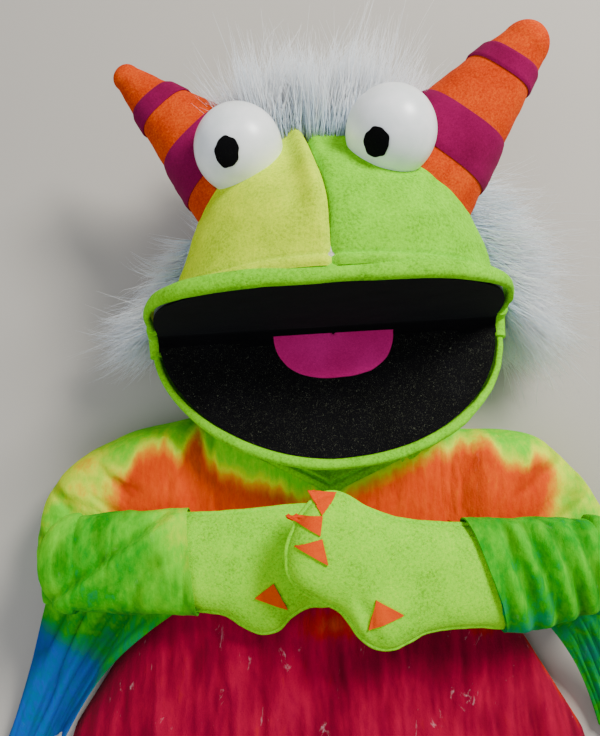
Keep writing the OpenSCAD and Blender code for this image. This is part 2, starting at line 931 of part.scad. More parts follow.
head_skin(LEFT);  // head_skin_left
head_skin(RIGHT);  // head_skin_right
head_foam();
upper_lip_roll();
upper_mouth_board();
upper_mouth_felt();
mouth_crease();
finger_strap();
fur_back();
fur_crown();
fur_side(LEFT);  // fur_side_left
fur_side(RIGHT);  // fur_side_right
eye(LEFT);  // eye_left
eye(RIGHT);  // eye_right
pupil(LEFT);  // pupil_left
pupil(RIGHT);  // pupil_right
horn_skin(LEFT);  // horn_skin_left
horn_skin(RIGHT);  // horn_skin_right
horn_fill(LEFT);  // horn_fill_left
horn_fill(RIGHT);  // horn_fill_right
horn_band(LEFT, 0.66, 0.78);  // horn_band_tip_left
horn_band(RIGHT, 0.79, 0.9);  // horn_band_tip_right
horn_band(LEFT, 0.13, 0.41);  // horn_band_base_left
horn_band(RIGHT, 0.24, 0.5);  // horn_band_base_right
jaw_skin();
chin_foam();
lower_lip_roll();
lower_mouth_board();
lower_mouth_felt();
tongue();
thumb_strap();
neck_band();
neck_sock();
body_sock();
shirt_front();
shirt_back();
upper_arm_skin(LEFT);  // upper_arm_skin_left
upper_arm_skin(RIGHT);  // upper_arm_skin_right
upper_arm_fill(LEFT);  // upper_arm_fill_left
upper_arm_fill(RIGHT);  // upper_arm_fill_right
sleeve(LEFT);  // sleeve_left
sleeve(RIGHT);  // sleeve_right
sleeve_drape(LEFT);  // sleeve_drape_left
sleeve_drape(RIGHT);  // sleeve_drape_right
sleeve_cuff(LEFT);  // sleeve_cuff_left
sleeve_cuff(RIGHT);  // sleeve_cuff_right
mitten_half(LEFT, false);  // hand_back_left
mitten_half(RIGHT, false);  // hand_back_right
mitten_half(LEFT, true);  // hand_palm_left
mitten_half(RIGHT, true);  // hand_palm_right
hand_fill(LEFT);  // hand_fill_left
hand_fill(RIGHT);  // hand_fill_right
finger_claws(LEFT);  // finger_claws_left
finger_claws(RIGHT);  // finger_claws_right
thumb_claw(LEFT);  // thumb_claw_left
thumb_claw(RIGHT);  // thumb_claw_right
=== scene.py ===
import json
import math

import bmesh
import bpy
import numpy as np
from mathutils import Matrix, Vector


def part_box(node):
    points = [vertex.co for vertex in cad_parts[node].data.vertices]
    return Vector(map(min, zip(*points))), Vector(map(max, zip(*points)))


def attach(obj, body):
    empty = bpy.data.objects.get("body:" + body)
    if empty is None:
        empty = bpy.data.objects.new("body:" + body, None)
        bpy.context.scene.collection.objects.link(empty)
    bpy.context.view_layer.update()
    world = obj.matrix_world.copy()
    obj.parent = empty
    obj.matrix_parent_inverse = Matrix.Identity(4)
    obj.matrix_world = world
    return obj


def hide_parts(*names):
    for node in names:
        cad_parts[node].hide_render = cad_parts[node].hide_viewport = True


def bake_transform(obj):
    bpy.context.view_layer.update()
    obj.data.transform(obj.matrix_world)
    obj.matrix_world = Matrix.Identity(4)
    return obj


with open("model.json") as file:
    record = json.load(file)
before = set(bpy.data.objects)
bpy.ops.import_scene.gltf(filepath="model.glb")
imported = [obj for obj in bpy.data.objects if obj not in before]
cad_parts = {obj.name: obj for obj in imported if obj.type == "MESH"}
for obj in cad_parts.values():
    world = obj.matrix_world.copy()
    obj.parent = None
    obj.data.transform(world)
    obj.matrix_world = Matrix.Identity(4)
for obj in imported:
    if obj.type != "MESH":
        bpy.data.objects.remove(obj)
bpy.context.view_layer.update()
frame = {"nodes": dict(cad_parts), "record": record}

# Sizes are millimetres in each part's own frame; MM turns them into the row's metres.
MM = 0.001
LEFT, RIGHT = -1, 1
SIDES = {LEFT: "left", RIGHT: "right"}

# ---------------------------------------------------------------- camera

CAMERA_AT = (-0.0160, 0.0177, 0.3618)
CAMERA_TILT = 85        # degrees above the table
CAMERA_LENS = 29.93

camera = bpy.data.objects.new("camera", bpy.data.cameras.new("camera"))
camera.location = CAMERA_AT
camera.rotation_euler = (math.radians(90 - CAMERA_TILT), 0, 0)
camera.data.lens = CAMERA_LENS
camera.data.clip_start = 0.01
bpy.context.scene.collection.objects.link(camera)
bpy.context.scene.camera = camera

# ---------------------------------------------------------------- nodes and colour


def tone(hex_value):
    """Linear colour of an sRGB hex value."""
    parts = [int(hex_value[i:i + 2], 16) / 255 for i in (1, 3, 5)]
    return [c / 12.92 if c <= 0.04045 else ((c + 0.055) / 1.055) ** 2.4 for c in parts] + [1.0]


def add(tree, kind, inputs=None, links=None, stops=None, **settings):
    """Adds a node with its settings, its plain inputs and the sockets linked into it."""
    node = tree.nodes.new(kind)
    for name, value in settings.items():
        setattr(node, name, value)
    for name, value in (inputs or {}).items():
        node.inputs[name].default_value = value
    for name, socket in (links or {}).items():
        tree.links.new(socket, node.inputs[name])
    for k, (place, shade) in enumerate(stops or []):
        while len(node.color_ramp.elements) <= k:
            node.color_ramp.elements.new(1.0)
        node.color_ramp.elements[k].position = place
        node.color_ramp.elements[k].color = tone(shade)
    return node


def new_material(name, **surface):
    """An empty material with a Principled surface; returns it with its tree and shader."""
    material = bpy.data.materials.new(name)
    material.use_nodes = True
    shader = material.node_tree.nodes["Principled BSDF"]
    for socket, value in surface.items():
        shader.inputs[socket.replace("_", " ")].default_value = value
    return material, material.node_tree, shader


def fleece(name, deep, middle, light, glint, tuft=1.3, glint_share=0.69):
    """Short-pile polyester fleece: matted tufts about a millimetre across, with pale flecks painted in as glints
    where fibre ends catch the light (painted highlight).
    """
    material, tree, shader = new_material(
        name, Roughness=0.95, Sheen_Weight=0.02, Sheen_Roughness=0.5, Specular_IOR_Level=0.05)
    at = add(tree, "ShaderNodeTexCoord").outputs["Object"]
    tufts = add(tree, "ShaderNodeTexNoise", {"Scale": 1 / (tuft * MM), "Detail": 5.0, "Roughness": 0.7},
                {"Vector": at})
    mottle = add(tree, "ShaderNodeTexNoise", {"Scale": 1 / (14 * MM), "Detail": 3.0}, {"Vector": at})
    mixed = add(tree, "ShaderNodeMath", {1: 0.35}, {0: mottle.outputs["Fac"]}, operation="MULTIPLY")
    total = add(tree, "ShaderNodeMath", {1: 0.75, 2: 0.0}, {0: tufts.outputs["Fac"], 2: mixed.outputs[0]},
                operation="MULTIPLY_ADD")
    shade = add(tree, "ShaderNodeValToRGB", links={"Fac": total.outputs[0]},
                stops=[(0.36, deep), (0.53, middle), (0.7, light)])
    # Painted highlight: pale flecks stand for glints on the fibre ends.
    ends = add(tree, "ShaderNodeTexNoise", {"Scale": 1 / (0.5 * MM), "Detail": 2.0}, {"Vector": at})
    lit = add(tree, "ShaderNodeMapRange", {"From Min": glint_share - 0.04, "From Max": glint_share + 0.05,
              "To Max": 0.75}, {"Value": ends.outputs["Fac"]})
    colour = add(tree, "ShaderNodeMix", None, {"Factor": lit.outputs[0]}, data_type="RGBA")
    tree.links.new(shade.outputs["Color"], colour.inputs[6])
    colour.inputs[7].default_value = tone(glint)
    bump = add(tree, "ShaderNodeBump", {"Strength": 0.55, "Distance": 0.5 * MM}, {"Height": tufts.outputs["Fac"]})
    tree.links.new(colour.outputs[2], shader.inputs["Base Color"])
    tree.links.new(bump.outputs["Normal"], shader.inputs["Normal"])
    return material


def felt(name, deep, light, lint=None, lint_share=0.74):
    """Pressed craft felt: a dull matted surface with fine crossing fibres, and lint where it is dark."""
    material, tree, shader = new_material(
        name, Roughness=0.97, Sheen_Weight=0.02, Sheen_Roughness=0.6, Specular_IOR_Level=0.08)
    at = add(tree, "ShaderNodeTexCoord").outputs["Object"]
    mat = add(tree, "ShaderNodeTexNoise", {"Scale": 1 / (0.9 * MM), "Detail": 6.0, "Roughness": 0.75,
              "Distortion": 1.2}, {"Vector": at})
    patch = add(tree, "ShaderNodeTexNoise", {"Scale": 1 / (18 * MM), "Detail": 2.0}, {"Vector": at})
    total = add(tree, "ShaderNodeMath", {1: 0.65}, {0: mat.outputs["Fac"]}, operation="MULTIPLY")
    total = add(tree, "ShaderNodeMath", {1: 0.35}, {0: patch.outputs["Fac"], 2: total.outputs[0]},
                operation="MULTIPLY_ADD")
    shade = add(tree, "ShaderNodeValToRGB", links={"Fac": total.outputs[0]}, stops=[(0.36, deep), (0.66, light)])
    out = shade.outputs["Color"]
    if lint:
        bits = add(tree, "ShaderNodeTexNoise", {"Scale": 1 / (0.75 * MM), "Detail": 3.0, "Distortion": 2.5},
                   {"Vector": at})
        cover = add(tree, "ShaderNodeMapRange", {"From Min": lint_share - 0.07, "From Max": lint_share + 0.03,
                    "To Max": 0.5}, {"Value": bits.outputs["Fac"]})
        colour = add(tree, "ShaderNodeMix", None, {"Factor": cover.outputs[0]}, data_type="RGBA")
        tree.links.new(out, colour.inputs[6])
        colour.inputs[7].default_value = tone(lint)
        out = colour.outputs[2]
    bump = add(tree, "ShaderNodeBump", {"Strength": 0.45, "Distance": 0.35 * MM}, {"Height": mat.outputs["Fac"]})
    tree.links.new(out, shader.inputs["Base Color"])
    tree.links.new(bump.outputs["Normal"], shader.inputs["Normal"])
    return material


DYES = [(0.0, "#8e0030"), (0.13, "#b80438"), (0.25, "#d02000"), (0.36, "#f45400"), (0.46, "#fca000"),
        (0.55, "#e4f400"), (0.66, "#74e000"), (0.78, "#04a00c"), (0.89, "#008074"), (1.0, "#005cc0")]


def gauze(name):
    """Crinkled cotton gauze, tie-dyed: the "dye" of each point picks the colour, its "crease" value darkens it as
    painted shade in the folds, and undyed threads stay pale along the creases; the weave is about two threads to a
    millimetre."""
    material, tree, shader = new_material(
        name, Roughness=0.9, Sheen_Weight=0.02, Sheen_Roughness=0.5, Specular_IOR_Level=0.08)
    at = add(tree, "ShaderNodeTexCoord").outputs["Object"]
    dye = add(tree, "ShaderNodeAttribute", attribute_name="dye").outputs["Fac"]
    crease = add(tree, "ShaderNodeAttribute", attribute_name="crease").outputs["Fac"]
    stretched = add(tree, "ShaderNodeMapping", {"Scale": (1, 0.4, 1)}, {"Vector": at})
    streak = add(tree, "ShaderNodeTexNoise", {"Scale": 1 / (3.2 * MM), "Detail": 6.0, "Roughness": 0.65},
                 {"Vector": stretched.outputs[0]})
    bleed = add(tree, "ShaderNodeMapRange", {"From Min": 0.3, "From Max": 0.7, "To Min": -0.035, "To Max": 0.035},
                {"Value": streak.outputs["Fac"]})
    place = add(tree, "ShaderNodeMath", None, {0: dye, 1: bleed.outputs[0]}, operation="ADD")
    shade = add(tree, "ShaderNodeValToRGB", links={"Fac": place.outputs[0]}, stops=DYES)
    # Painted shade: the crease value darkens the colour in the folds and hollows.
    darker = add(tree, "ShaderNodeMapRange", {"From Min": 0.0, "From Max": 1.0, "To Min": 1.0, "To Max": 0.42},
                 {"Value": crease})
    toned = add(tree, "ShaderNodeHueSaturation", None, {"Color": shade.outputs["Color"], "Value": darker.outputs[0]})
    pale = add(tree, "ShaderNodeTexNoise", {"Scale": 1 / (9 * MM), "Detail": 8.0, "Roughness": 0.68,
               "Distortion": 0.6}, {"Vector": stretched.outputs[0]})
    cracks = add(tree, "ShaderNodeMapRange", {"From Min": 0.63, "From Max": 0.74, "To Max": 0.55},
                 {"Value": pale.outputs["Fac"]})
    skirt = add(tree, "ShaderNodeMapRange", {"From Min": 0.12, "From Max": 0.3, "To Min": 1.0, "To Max": 0.15},
                {"Value": dye})
    cracks = add(tree, "ShaderNodeMath", None, {0: cracks.outputs[0], 1: skirt.outputs[0]}, operation="MULTIPLY")
    colour = add(tree, "ShaderNodeMix", None, {"Factor": cracks.outputs[0]}, data_type="RGBA")
    tree.links.new(toned.outputs["Color"], colour.inputs[6])
    colour.inputs[7].default_value = tone("#f4d3d6")
    weave = add(tree, "ShaderNodeTexNoise", {"Scale": 1 / (0.6 * MM), "Detail": 2.0}, {"Vector": at})
    relief = add(tree, "ShaderNodeMath", {1: 0.25}, {0: weave.outputs["Fac"], 2: streak.outputs["Fac"]},
                 operation="MULTIPLY_ADD")
    bump = add(tree, "ShaderNodeBump", {"Strength": 0.8, "Distance": 0.8 * MM}, {"Height": relief.outputs[0]})
    tree.links.new(colour.outputs[2], shader.inputs["Base Color"])
    tree.links.new(bump.outputs["Normal"], shader.inputs["Normal"])
    return material


def pearl_foam():
    """Polystyrene ball under pearl paint: white, smooth and softly shiny, with the beads just showing."""
    material, tree, shader = new_material(
        "pearl_painted_foam", Roughness=0.34, IOR=1.5, Sheen_Weight=0.05, Coat_Weight=0.25, Coat_Roughness=0.3)
    at = add(tree, "ShaderNodeTexCoord").outputs["Object"]
    beads = add(tree, "ShaderNodeTexVoronoi", {"Scale": 1 / (2.6 * MM)}, {"Vector": at})
    cloud = add(tree, "ShaderNodeTexNoise", {"Scale": 1 / (9 * MM), "Detail": 3.0}, {"Vector": at})
    shade = add(tree, "ShaderNodeValToRGB", links={"Fac": cloud.outputs["Fac"]},
                stops=[(0.35, "#f0f4f2"), (0.65, "#ffffff")])
    bump = add(tree, "ShaderNodeBump", {"Strength": 0.12, "Distance": 0.15 * MM},
               {"Height": beads.outputs["Distance"]})
    tree.links.new(shade.outputs["Color"], shader.inputs["Base Color"])
    tree.links.new(bump.outputs["Normal"], shader.inputs["Normal"])
    return material


def acrylic_fur(name, shadow, middle, light):
    """Long-pile acrylic fur: each strand has its own tone, and painted shade makes it darker and bluer at the root.
    """
    material, tree, shader = new_material(name, Roughness=0.5, Specular_IOR_Level=0.35, Sheen_Weight=0.2)
    shade = add(tree, "ShaderNodeAttribute", attribute_name="shade").outputs["Fac"]
    at = add(tree, "ShaderNodeTexCoord").outputs["Object"]
    patch = add(tree, "ShaderNodeTexNoise", {"Scale": 1 / (16 * MM), "Detail": 2.0}, {"Vector": at})
    total = add(tree, "ShaderNodeMath", {1: 0.3}, {0: patch.outputs["Fac"], 2: shade}, operation="MULTIPLY_ADD")
    colour = add(tree, "ShaderNodeValToRGB", links={"Fac": total.outputs[0]},
                 stops=[(0.15, shadow), (0.5, middle), (0.95, light)])
    tree.links.new(colour.outputs["Color"], shader.inputs["Base Color"])
    return material


def plain(name, deep, light, grain_mm, roughness, bump_mm=0.2):
    """A simple matt stuff whose grain is grain_mm across: foam cells, greyboard fibre or webbing."""
    material, tree, shader = new_material(name, Roughness=roughness, Specular_IOR_Level=0.25)
    at = add(tree, "ShaderNodeTexCoord").outputs["Object"]
    cells = add(tree, "ShaderNodeTexNoise", {"Scale": 1 / (grain_mm * MM), "Detail": 4.0}, {"Vector": at})
    shade = add(tree, "ShaderNodeValToRGB", links={"Fac": cells.outputs["Fac"]}, stops=[(0.35, deep), (0.65, light)])
    bump = add(tree, "ShaderNodeBump", {"Strength": 0.5, "Distance": bump_mm * MM}, {"Height": cells.outputs["Fac"]})
    tree.links.new(shade.outputs["Color"], shader.inputs["Base Color"])
    tree.links.new(bump.outputs["Normal"], shader.inputs["Normal"])
    return material


LIME = fleece("lime_fleece", "#549f00", "#7cd400", "#92ee00", "#c8ff20", glint_share=0.72)
LIME_YELLOW = fleece("lime_fleece_yellower", "#a0c400", "#ccec00", "#e8ff00", "#f6ff50", glint_share=0.72)
# The mitten's fleece carries more pale flecks, painted glints, than the head's.
LIME_MITTEN = fleece("lime_fleece_painted_sparkle", "#62b000", "#8ce800", "#a8fc00", "#e2ff30", glint_share=0.67)
ORANGE = fleece("orange_fleece", "#a82800", "#cc3c00", "#e45808", "#ff9850", tuft=1.0, glint_share=0.76)
MAGENTA_FELT = felt("magenta_felt", "#6c0034", "#920650", "#c05084", 0.82)
TONGUE_FELT = felt("magenta_felt_tongue", "#c80c6a", "#f02490", "#f090c0", 0.82)
ORANGE_FELT = felt("orange_felt", "#dc3c00", "#fb600c")
BLACK_FELT = felt("black_felt", "#020202", "#08070a", "#6c6e60", 0.76)
BLACK_FELT_LINTY = felt("black_felt_linty", "#030303", "#0c0b0e", "#94987c", 0.7)
GAUZE = gauze("tie_dyed_gauze")
PEARL = pearl_foam()
FUR = acrylic_fur("white_acrylic_fur", "#66849e", "#cadeee", "#ffffff")
FUR_ICE = acrylic_fur("ice_blue_acrylic_fur", "#5a96b0", "#98d2e6", "#eefcff")
HIDE = plain("fur_backing_knit", "#8fa3b5", "#c4d2dd", 1.5, 0.95)
FOAM = plain("open_cell_foam", "#b9b39c", "#e2ddca", 0.9, 0.95, 0.4)
BOARD = plain("greyboard", "#77797d", "#9c9ea2", 0.7, 0.85, 0.1)
WEBBING = plain("woven_elastic_webbing", "#0e0d10", "#2b2a2e", 0.8, 0.8)

# ---------------------------------------------------------------- shapes


def grain(points, size, seed=0):
    """Smooth random field from -1 to 1 whose features are size across; size may differ by axis."""
    p = np.asarray(points, float) / np.asarray(size, float) + 31.7 * seed + 500
    base = np.floor(p).astype(np.int64)
    f = p - base
    f = f * f * (3 - 2 * f)
    total = 0.0
    for corner in range(8):
        d = [(corner >> k) & 1 for k in range(3)]
        n = (base[..., 0] + d[0]) * 73856093 ^ (base[..., 1] + d[1]) * 19349663 ^ (base[..., 2] + d[2]) * 83492791
        n = (n ^ (n >> 13)) * 1274126177 & 0x7FFFFFFF
        n = (n ^ (n >> 15)) & 0xFFFF
        weight = np.prod([f[..., k] if d[k] else 1 - f[..., k] for k in range(3)], axis=0)
        total = total + weight * (n / 32767.5 - 1)
    return total


def layers(points, size, seed=0, depth=3):
    """Several fields on top of each other, each half the size of the one before."""
    size = np.asarray(size, float)
    return sum(grain(points, size / 2 ** k, seed + k) / 2 ** k for k in range(depth))


def ease(v, low, high):
    """0 below low, 1 above high and smooth between."""
    t = np.clip((np.asarray(v, float) - low) / (high - low), 0, 1)
    return t * t * (3 - 2 * t)


def spow(v, p):
    return np.sign(v) * np.abs(v) ** p


def quads(rows, cols, wrap=False, start=0):
    """Four-sided faces of a grid of points; wrap joins the last column to the first."""
    r = np.arange(rows - 1)[:, None]
    c = np.arange(cols if wrap else cols - 1)[None, :]
    a = start + r * cols + c
    b = start + r * cols + (c + 1) % cols
    return np.stack([a, b, b + cols, a + cols], -1).reshape(-1, 4)


def strip(p, q):
    """Four-sided faces between two rows of point numbers."""
    return np.stack([p[:-1], p[1:], q[1:], q[:-1]], -1)


def mesh_piece(name, points, face_sets, material, values=None, turn_out=True, sharp=60):
    """Object made of points in metres and sets of faces; values are numbers kept for each point."""
    points = np.asarray(points, float).reshape(-1, 3)
    sizes = np.concatenate([np.full(len(f), f.shape[1]) for f in face_sets])
    mesh = bpy.data.meshes.new(name)
    mesh.vertices.add(len(points))
    mesh.vertices.foreach_set("co", points.astype(np.float32).ravel())
    mesh.loops.add(int(sizes.sum()))
    mesh.loops.foreach_set("vertex_index", np.concatenate([f.ravel() for f in face_sets]).astype(np.int32))
    mesh.polygons.add(len(sizes))
    mesh.polygons.foreach_set("loop_start", np.concatenate([[0], np.cumsum(sizes)[:-1]]).astype(np.int32))
    mesh.update(calc_edges=True)
    mesh.validate()
    if turn_out:
        work = bmesh.new()
        work.from_mesh(mesh)
        bmesh.ops.recalc_face_normals(work, faces=work.faces)
        work.to_mesh(mesh)
        work.free()
    mesh.shade_smooth()
    if sharp:
        mesh.set_sharp_from_angle(angle=math.radians(sharp))
    for key, numbers in (values or {}).items():
        mesh.attributes.new(key, "FLOAT", "POINT").data.foreach_set("value", np.asarray(numbers, np.float32).ravel())
    mesh.materials.append(material)
    piece = bpy.data.objects.new(name, mesh)
    bpy.context.scene.collection.objects.link(piece)
    return piece


def normals(grid, wrap=False):
    """Unit normals of a grid of points."""
    du = np.gradient(grid, axis=0)
    if wrap:
        dv = (np.roll(grid, -1, axis=1) - np.roll(grid, 1, axis=1)) / 2
    else:
        dv = np.gradient(grid, axis=1)
    n = np.cross(du, dv)
    return n / np.maximum(np.linalg.norm(n, axis=-1, keepdims=True), 1e-12)


def cloth(name, grid, thick, material, wrap=False, values=None, flip=False):
    """Closed sheet of one thickness whose outer face is the grid; its edges are closed through the middle of the
    thickness.
    """
    rows, cols = grid.shape[:2]
    n = normals(grid, wrap) * (-1 if flip else 1)
    middle = grid - n * thick / 2
    lower = grid - n * thick
    top = np.arange(rows * cols)
    size = rows * cols
    edges = [top[:cols], top[-cols:]]
    if wrap:
        edges = [np.append(e, e[0]) for e in edges]
    else:
        edges += [top[::cols], top[cols - 1::cols]]
    points = [grid.reshape(-1, 3), lower.reshape(-1, 3)]
    faces = [quads(rows, cols, wrap), quads(rows, cols, wrap, size)]
    start = 2 * size
    flat_middle = middle.reshape(-1, 3)
    for e in edges:
        points.append(flat_middle[e])
        row = start + np.arange(len(e))
        faces += [strip(e, row), strip(row, e + size)]
        start += len(e)
    all_points = np.concatenate(points)
    kept = None
    if values:
        kept = {}
        for key, v in values.items():
            v = np.asarray(v).reshape(-1)
            kept[key] = np.concatenate([v, v] + [v[e] for e in edges])
    piece = mesh_piece(name, all_points, faces, material, kept, sharp=75)
    work = bmesh.new()
    work.from_mesh(piece.data)
    bmesh.ops.remove_doubles(work, verts=work.verts, dist=1e-6)
    bmesh.ops.recalc_face_normals(work, faces=work.faces)
    work.to_mesh(piece.data)
    work.free()
    return piece


def lofted(name, rings, material, values=None, sharp=60):
    """Closed form through rings of points, with a fan at each end."""
    rows, cols = rings.shape[:2]
    size = rows * cols
    points = np.concatenate([rings.reshape(-1, 3), rings[0].mean(0)[None], rings[-1].mean(0)[None]])
    c = np.arange(cols)
    first = np.stack([(c + 1) % cols, c, np.full(cols, size)], -1)
    last = np.stack([size - cols + c, size - cols + (c + 1) % cols, np.full(cols, size + 1)], -1)
    if values:
        values = {k: np.concatenate([np.asarray(v).reshape(-1), [np.ravel(v)[0]], [np.ravel(v)[-1]]])
                  for k, v in values.items()}
    return mesh_piece(name, points, [quads(rows, cols, True), first, last], material, values, sharp=sharp)


def smooth_path(points, count, closed=False):
    """Catmull-Rom curve through points, as count evenly spaced points."""
    p = np.asarray(points, float)
    if closed:
        p = np.concatenate([p[-1:], p, p[:2]])
    else:
        p = np.concatenate([2 * p[:1] - p[1:2], p, 2 * p[-1:] - p[-2:-1]])
    t = np.linspace(0, 1, 12, endpoint=False)[:, None]
    found = []
    for k in range(len(p) - 3):
        a, b, c, d = p[k:k + 4]
        found.append(0.5 * (2 * b + (c - a) * t + (2 * a - 5 * b + 4 * c - d) * t ** 2
                            + (3 * b - a - 3 * c + d) * t ** 3))
    found = np.concatenate(found + ([] if closed else [p[-2:-1]]))
    if closed:
        found = np.concatenate([found, found[:1]])
    step = np.concatenate([[0], np.cumsum(np.linalg.norm(np.diff(found, axis=0), axis=1))])
    want = np.linspace(0, step[-1], count + 1)[:-1] if closed else np.linspace(0, step[-1], count)
    return np.stack([np.interp(want, step, found[:, k]) for k in range(p.shape[1])], -1)


def tube_rings(path, outline, roll_axis=(0, 0, 1)):
    """Rings along a path: outline(s) gives (across, up) sizes for the ring at share s of the length."""
    path = np.asarray(path, float)
    tangent = np.gradient(path, axis=0)
    tangent /= np.linalg.norm(tangent, axis=1, keepdims=True)
    side = np.cross(tangent, np.asarray(roll_axis, float))
    side /= np.maximum(np.linalg.norm(side, axis=1, keepdims=True), 1e-9)
    rise = np.cross(side, tangent)
    rings = []
    for k, s in enumerate(np.linspace(0, 1, len(path))):
        o = np.asarray(outline(s))
        rings.append(path[k] + o[:, :1] * side[k] + o[:, 1:] * rise[k])
    return np.stack(rings)


def oval(a, b, n=2.0, steps=24, shift=(0, 0)):
    t = np.linspace(0, 2 * np.pi, steps, endpoint=False)
    return np.stack([a * spow(np.cos(t), 2 / n) + shift[0], b * spow(np.sin(t), 2 / n) + shift[1]], -1)


def dress(piece, body, slot, *stands_for):
    """Puts a piece on its body and hides the CAD nodes that it stands for; slot is not used."""
    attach(piece, body)
    if stands_for:
        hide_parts(*stands_for)
    return piece


# ---------------------------------------------------------------- frames of the head and mouth

joints = {j["name"]: j for j in frame["record"]["behaviour"]["joints"]}
hinge = np.array(joints["jaw_hinge"]["pos_m"])
ACROSS = -np.array(joints["jaw_hinge"]["axis"])
ONWARD = np.array([-ACROSS[1], ACROSS[0], 0.0])
UP = np.array([0.0, 0.0, 1.0])
UPPER_TILT = math.radians(82)
LOWER_TILT = math.radians(12)


def head_place(p):
    """Points in the head's frame, in mm from the middle of the mouth hinge, as row points."""
    p = np.asarray(p, float)
    return hinge + MM * (p[..., :1] * ACROSS + p[..., 1:2] * ONWARD + p[..., 2:] * UP)


def upper_place(p):
    """Points in the upper plate's frame: across, from hinge to lip, and into the mouth; it narrows to the lip."""
    p = np.asarray(p, float)
    p = np.concatenate([p[..., :1] * (1 - UPPER_TAPER * p[..., 1:2] / PLATE), p[..., 1:]], -1)
    c, s = math.cos(UPPER_TILT), math.sin(UPPER_TILT)
    return head_place(np.stack([p[..., 0], c * p[..., 1] - s * p[..., 2], s * p[..., 1] + c * p[..., 2]], -1))


def lower_place(p):
    """Points in the lower plate's frame: across, from hinge to lip, and into the mouth."""
    p = np.asarray(p, float)
    c, s = math.cos(LOWER_TILT), math.sin(LOWER_TILT)
    return head_place(np.stack([p[..., 0], -c * p[..., 1] + s * p[..., 2], s * p[..., 1] + c * p[..., 2]], -1))


plate_low, plate_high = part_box("lower_mouth_board")
MOUTH_HALF = (plate_high.x - plate_low.x) / 2 / MM * 0.998
PLATE = 66
LIP = 5
UPPER_N, LOWER_N = (3.2, 3.2), (1.8, 2.1)    # fullness of the lips at the left and at the right
HEAD_HALF = MOUTH_HALF + LIP - 1
HEAD_RISE = PLATE + LIP
HEAD_DROP = 41.7
HEAD_BASE = 5.4
CROWN = 98              # from the hinge to the crown
HEAD_WAIST = {LEFT: 0.20, RIGHT: 0.08}  # how far the head draws in above the lips
UPPER_TAPER = 0.05      # share by which the upper lip is narrower than the hinge


def head_form(h, t, inset=0.0):
    """Point on the head: h from the mouth and neck to the crown, t round it in radians."""
    side = (HEAD_HALF - inset) * (1 - h ** 1.9) ** 0.55
    waist = np.where(np.cos(t) < 0, HEAD_WAIST[LEFT], HEAD_WAIST[RIGHT])
    side = side * (1 - waist * (1 - np.exp(-h / 0.07)) * (1 - h ** 3))
    front = (HEAD_RISE - inset) * (1 - h ** 1.9) ** 0.5
    back = (HEAD_DROP - inset) * (1 - h ** 2.5) ** 0.5
    z = np.where(np.sin(t) > 0, front, back) * spow(np.sin(t), 2 / 2.2)
    base = HEAD_BASE + np.maximum(0, z) / math.tan(UPPER_TILT)
    return np.stack([side * spow(np.cos(t), 2 / 2.2), base + (CROWN - inset - base) * h, z], -1)


# ---------------------------------------------------------------- head

LIP_SEAM = 0.062        # share of the head's depth where the lip's seam runs
FLEECE = 1.6


def head_fleece(side):
    h = np.linspace(0, 1, 84)[:, None] ** 1.15 * 0.993
    t = np.linspace(np.pi / 2, np.pi / 2 - side * np.pi, 150)[None, :]
    h, t = np.broadcast_arrays(h, t)
    grid = head_form(h, t)
    n = normals(grid)
    if (n * grid).sum() < 0:
        n = -n
    front = ease(np.sin(t), 0.0, 0.25)
    x = np.abs(grid[..., 0])
    puff = 0.9 * np.sin(np.pi * np.clip(h / LIP_SEAM, 0, 1)) * front
    groove = -1.2 * np.exp(-((h - LIP_SEAM) / 0.009) ** 2) * front
    swell = 1.6 * ease(h, LIP_SEAM, 0.2) * front
    if side == LEFT:
        fold = 4.2 * np.exp(-((x - 4.5) / 5.0) ** 2) * ease(h, 0.12, 0.42) * front
    else:
        fold = 0.8 * np.exp(-((x - 9) / 8.0) ** 2) * ease(h, 0.1, 0.3) * front
    seam = -(2.4 + 1.0 * ease(h, 0.3, 0.8)) * np.exp(-(x / 1.5) ** 2) * front
    waves = 1.2 * layers(grid, (28, 28, 28), 3 + side) * front * ease(h, 0.05, 0.25)
    lines = 0.5 * grain(grid, (5, 30, 30), 7 + side) * ease(h, 0.45, 0.8) * front
    grid = grid + n * (puff + groove + swell + fold + seam + waves + lines)[..., None]
    grid[:, [0, -1], 0] = 0
    grid[..., 0] -= 6.5 * ease(h, 0.3, 0.95) * np.exp(-(grid[..., 0] / 24) ** 2) * front
    material = LIME_YELLOW if side == LEFT else LIME
    piece = cloth(f"head_fleece_{SIDES[side]}", head_place(grid), FLEECE * MM, material, flip=side == RIGHT)
    return dress(piece, "head", "lime_fleece", f"head_skin_{SIDES[side]}")


for side in SIDES:
    head_fleece(side)


def plate_outline(half, depth, n, count, start):
    """Outline of a mouth plate, start mm from the hinge, from one corner round the lip to the other."""
    t = np.linspace(0, np.pi, 2 * count)
    k = 2 / np.where(t < np.pi / 2, n[0], n[1])
    x = -half * spow(np.cos(t), k)
    y = start + (depth - start) * spow(np.abs(np.sin(t)), k)
    return smooth_path(np.stack([x, y], -1), count)


def lip(name, place, n, body, node, wide, high, drop, start):
    """Fleece rolled over the edge of a mouth plate, fuller at the middle of the lip."""
    line = plate_outline(MOUTH_HALF + wide * 0.62, PLATE + wide * 0.62, n, 160, start)
    path = np.column_stack([line, np.full(len(line), -drop)])
    path[:, 2] += 0.35 * grain(path, (17, 17, 17), 4)
    rings = tube_rings(path, lambda s: oval(wide * 0.62, high, 2.3, 22) * (1 - 0.45 * ease(abs(s - 0.5), 0.22, 0.42)))
    rings += (0.35 * grain(rings, (7, 7, 7), 9) + 0.15 * grain(rings, (2.5, 2.5, 2.5), 2))[..., None] * 0.7
    piece = lofted(name, place(rings), LIME)
    return dress(piece, body, "lime_fleece", node)


lip("upper_lip_fleece", upper_place, UPPER_N, "head", "upper_lip_roll", 4.8, 4.0, 3.4, 4)
lip("lower_lip_fleece", lower_place, LOWER_N, "jaw", "lower_lip_roll", 4.6, 2.8, 2.6, 4)


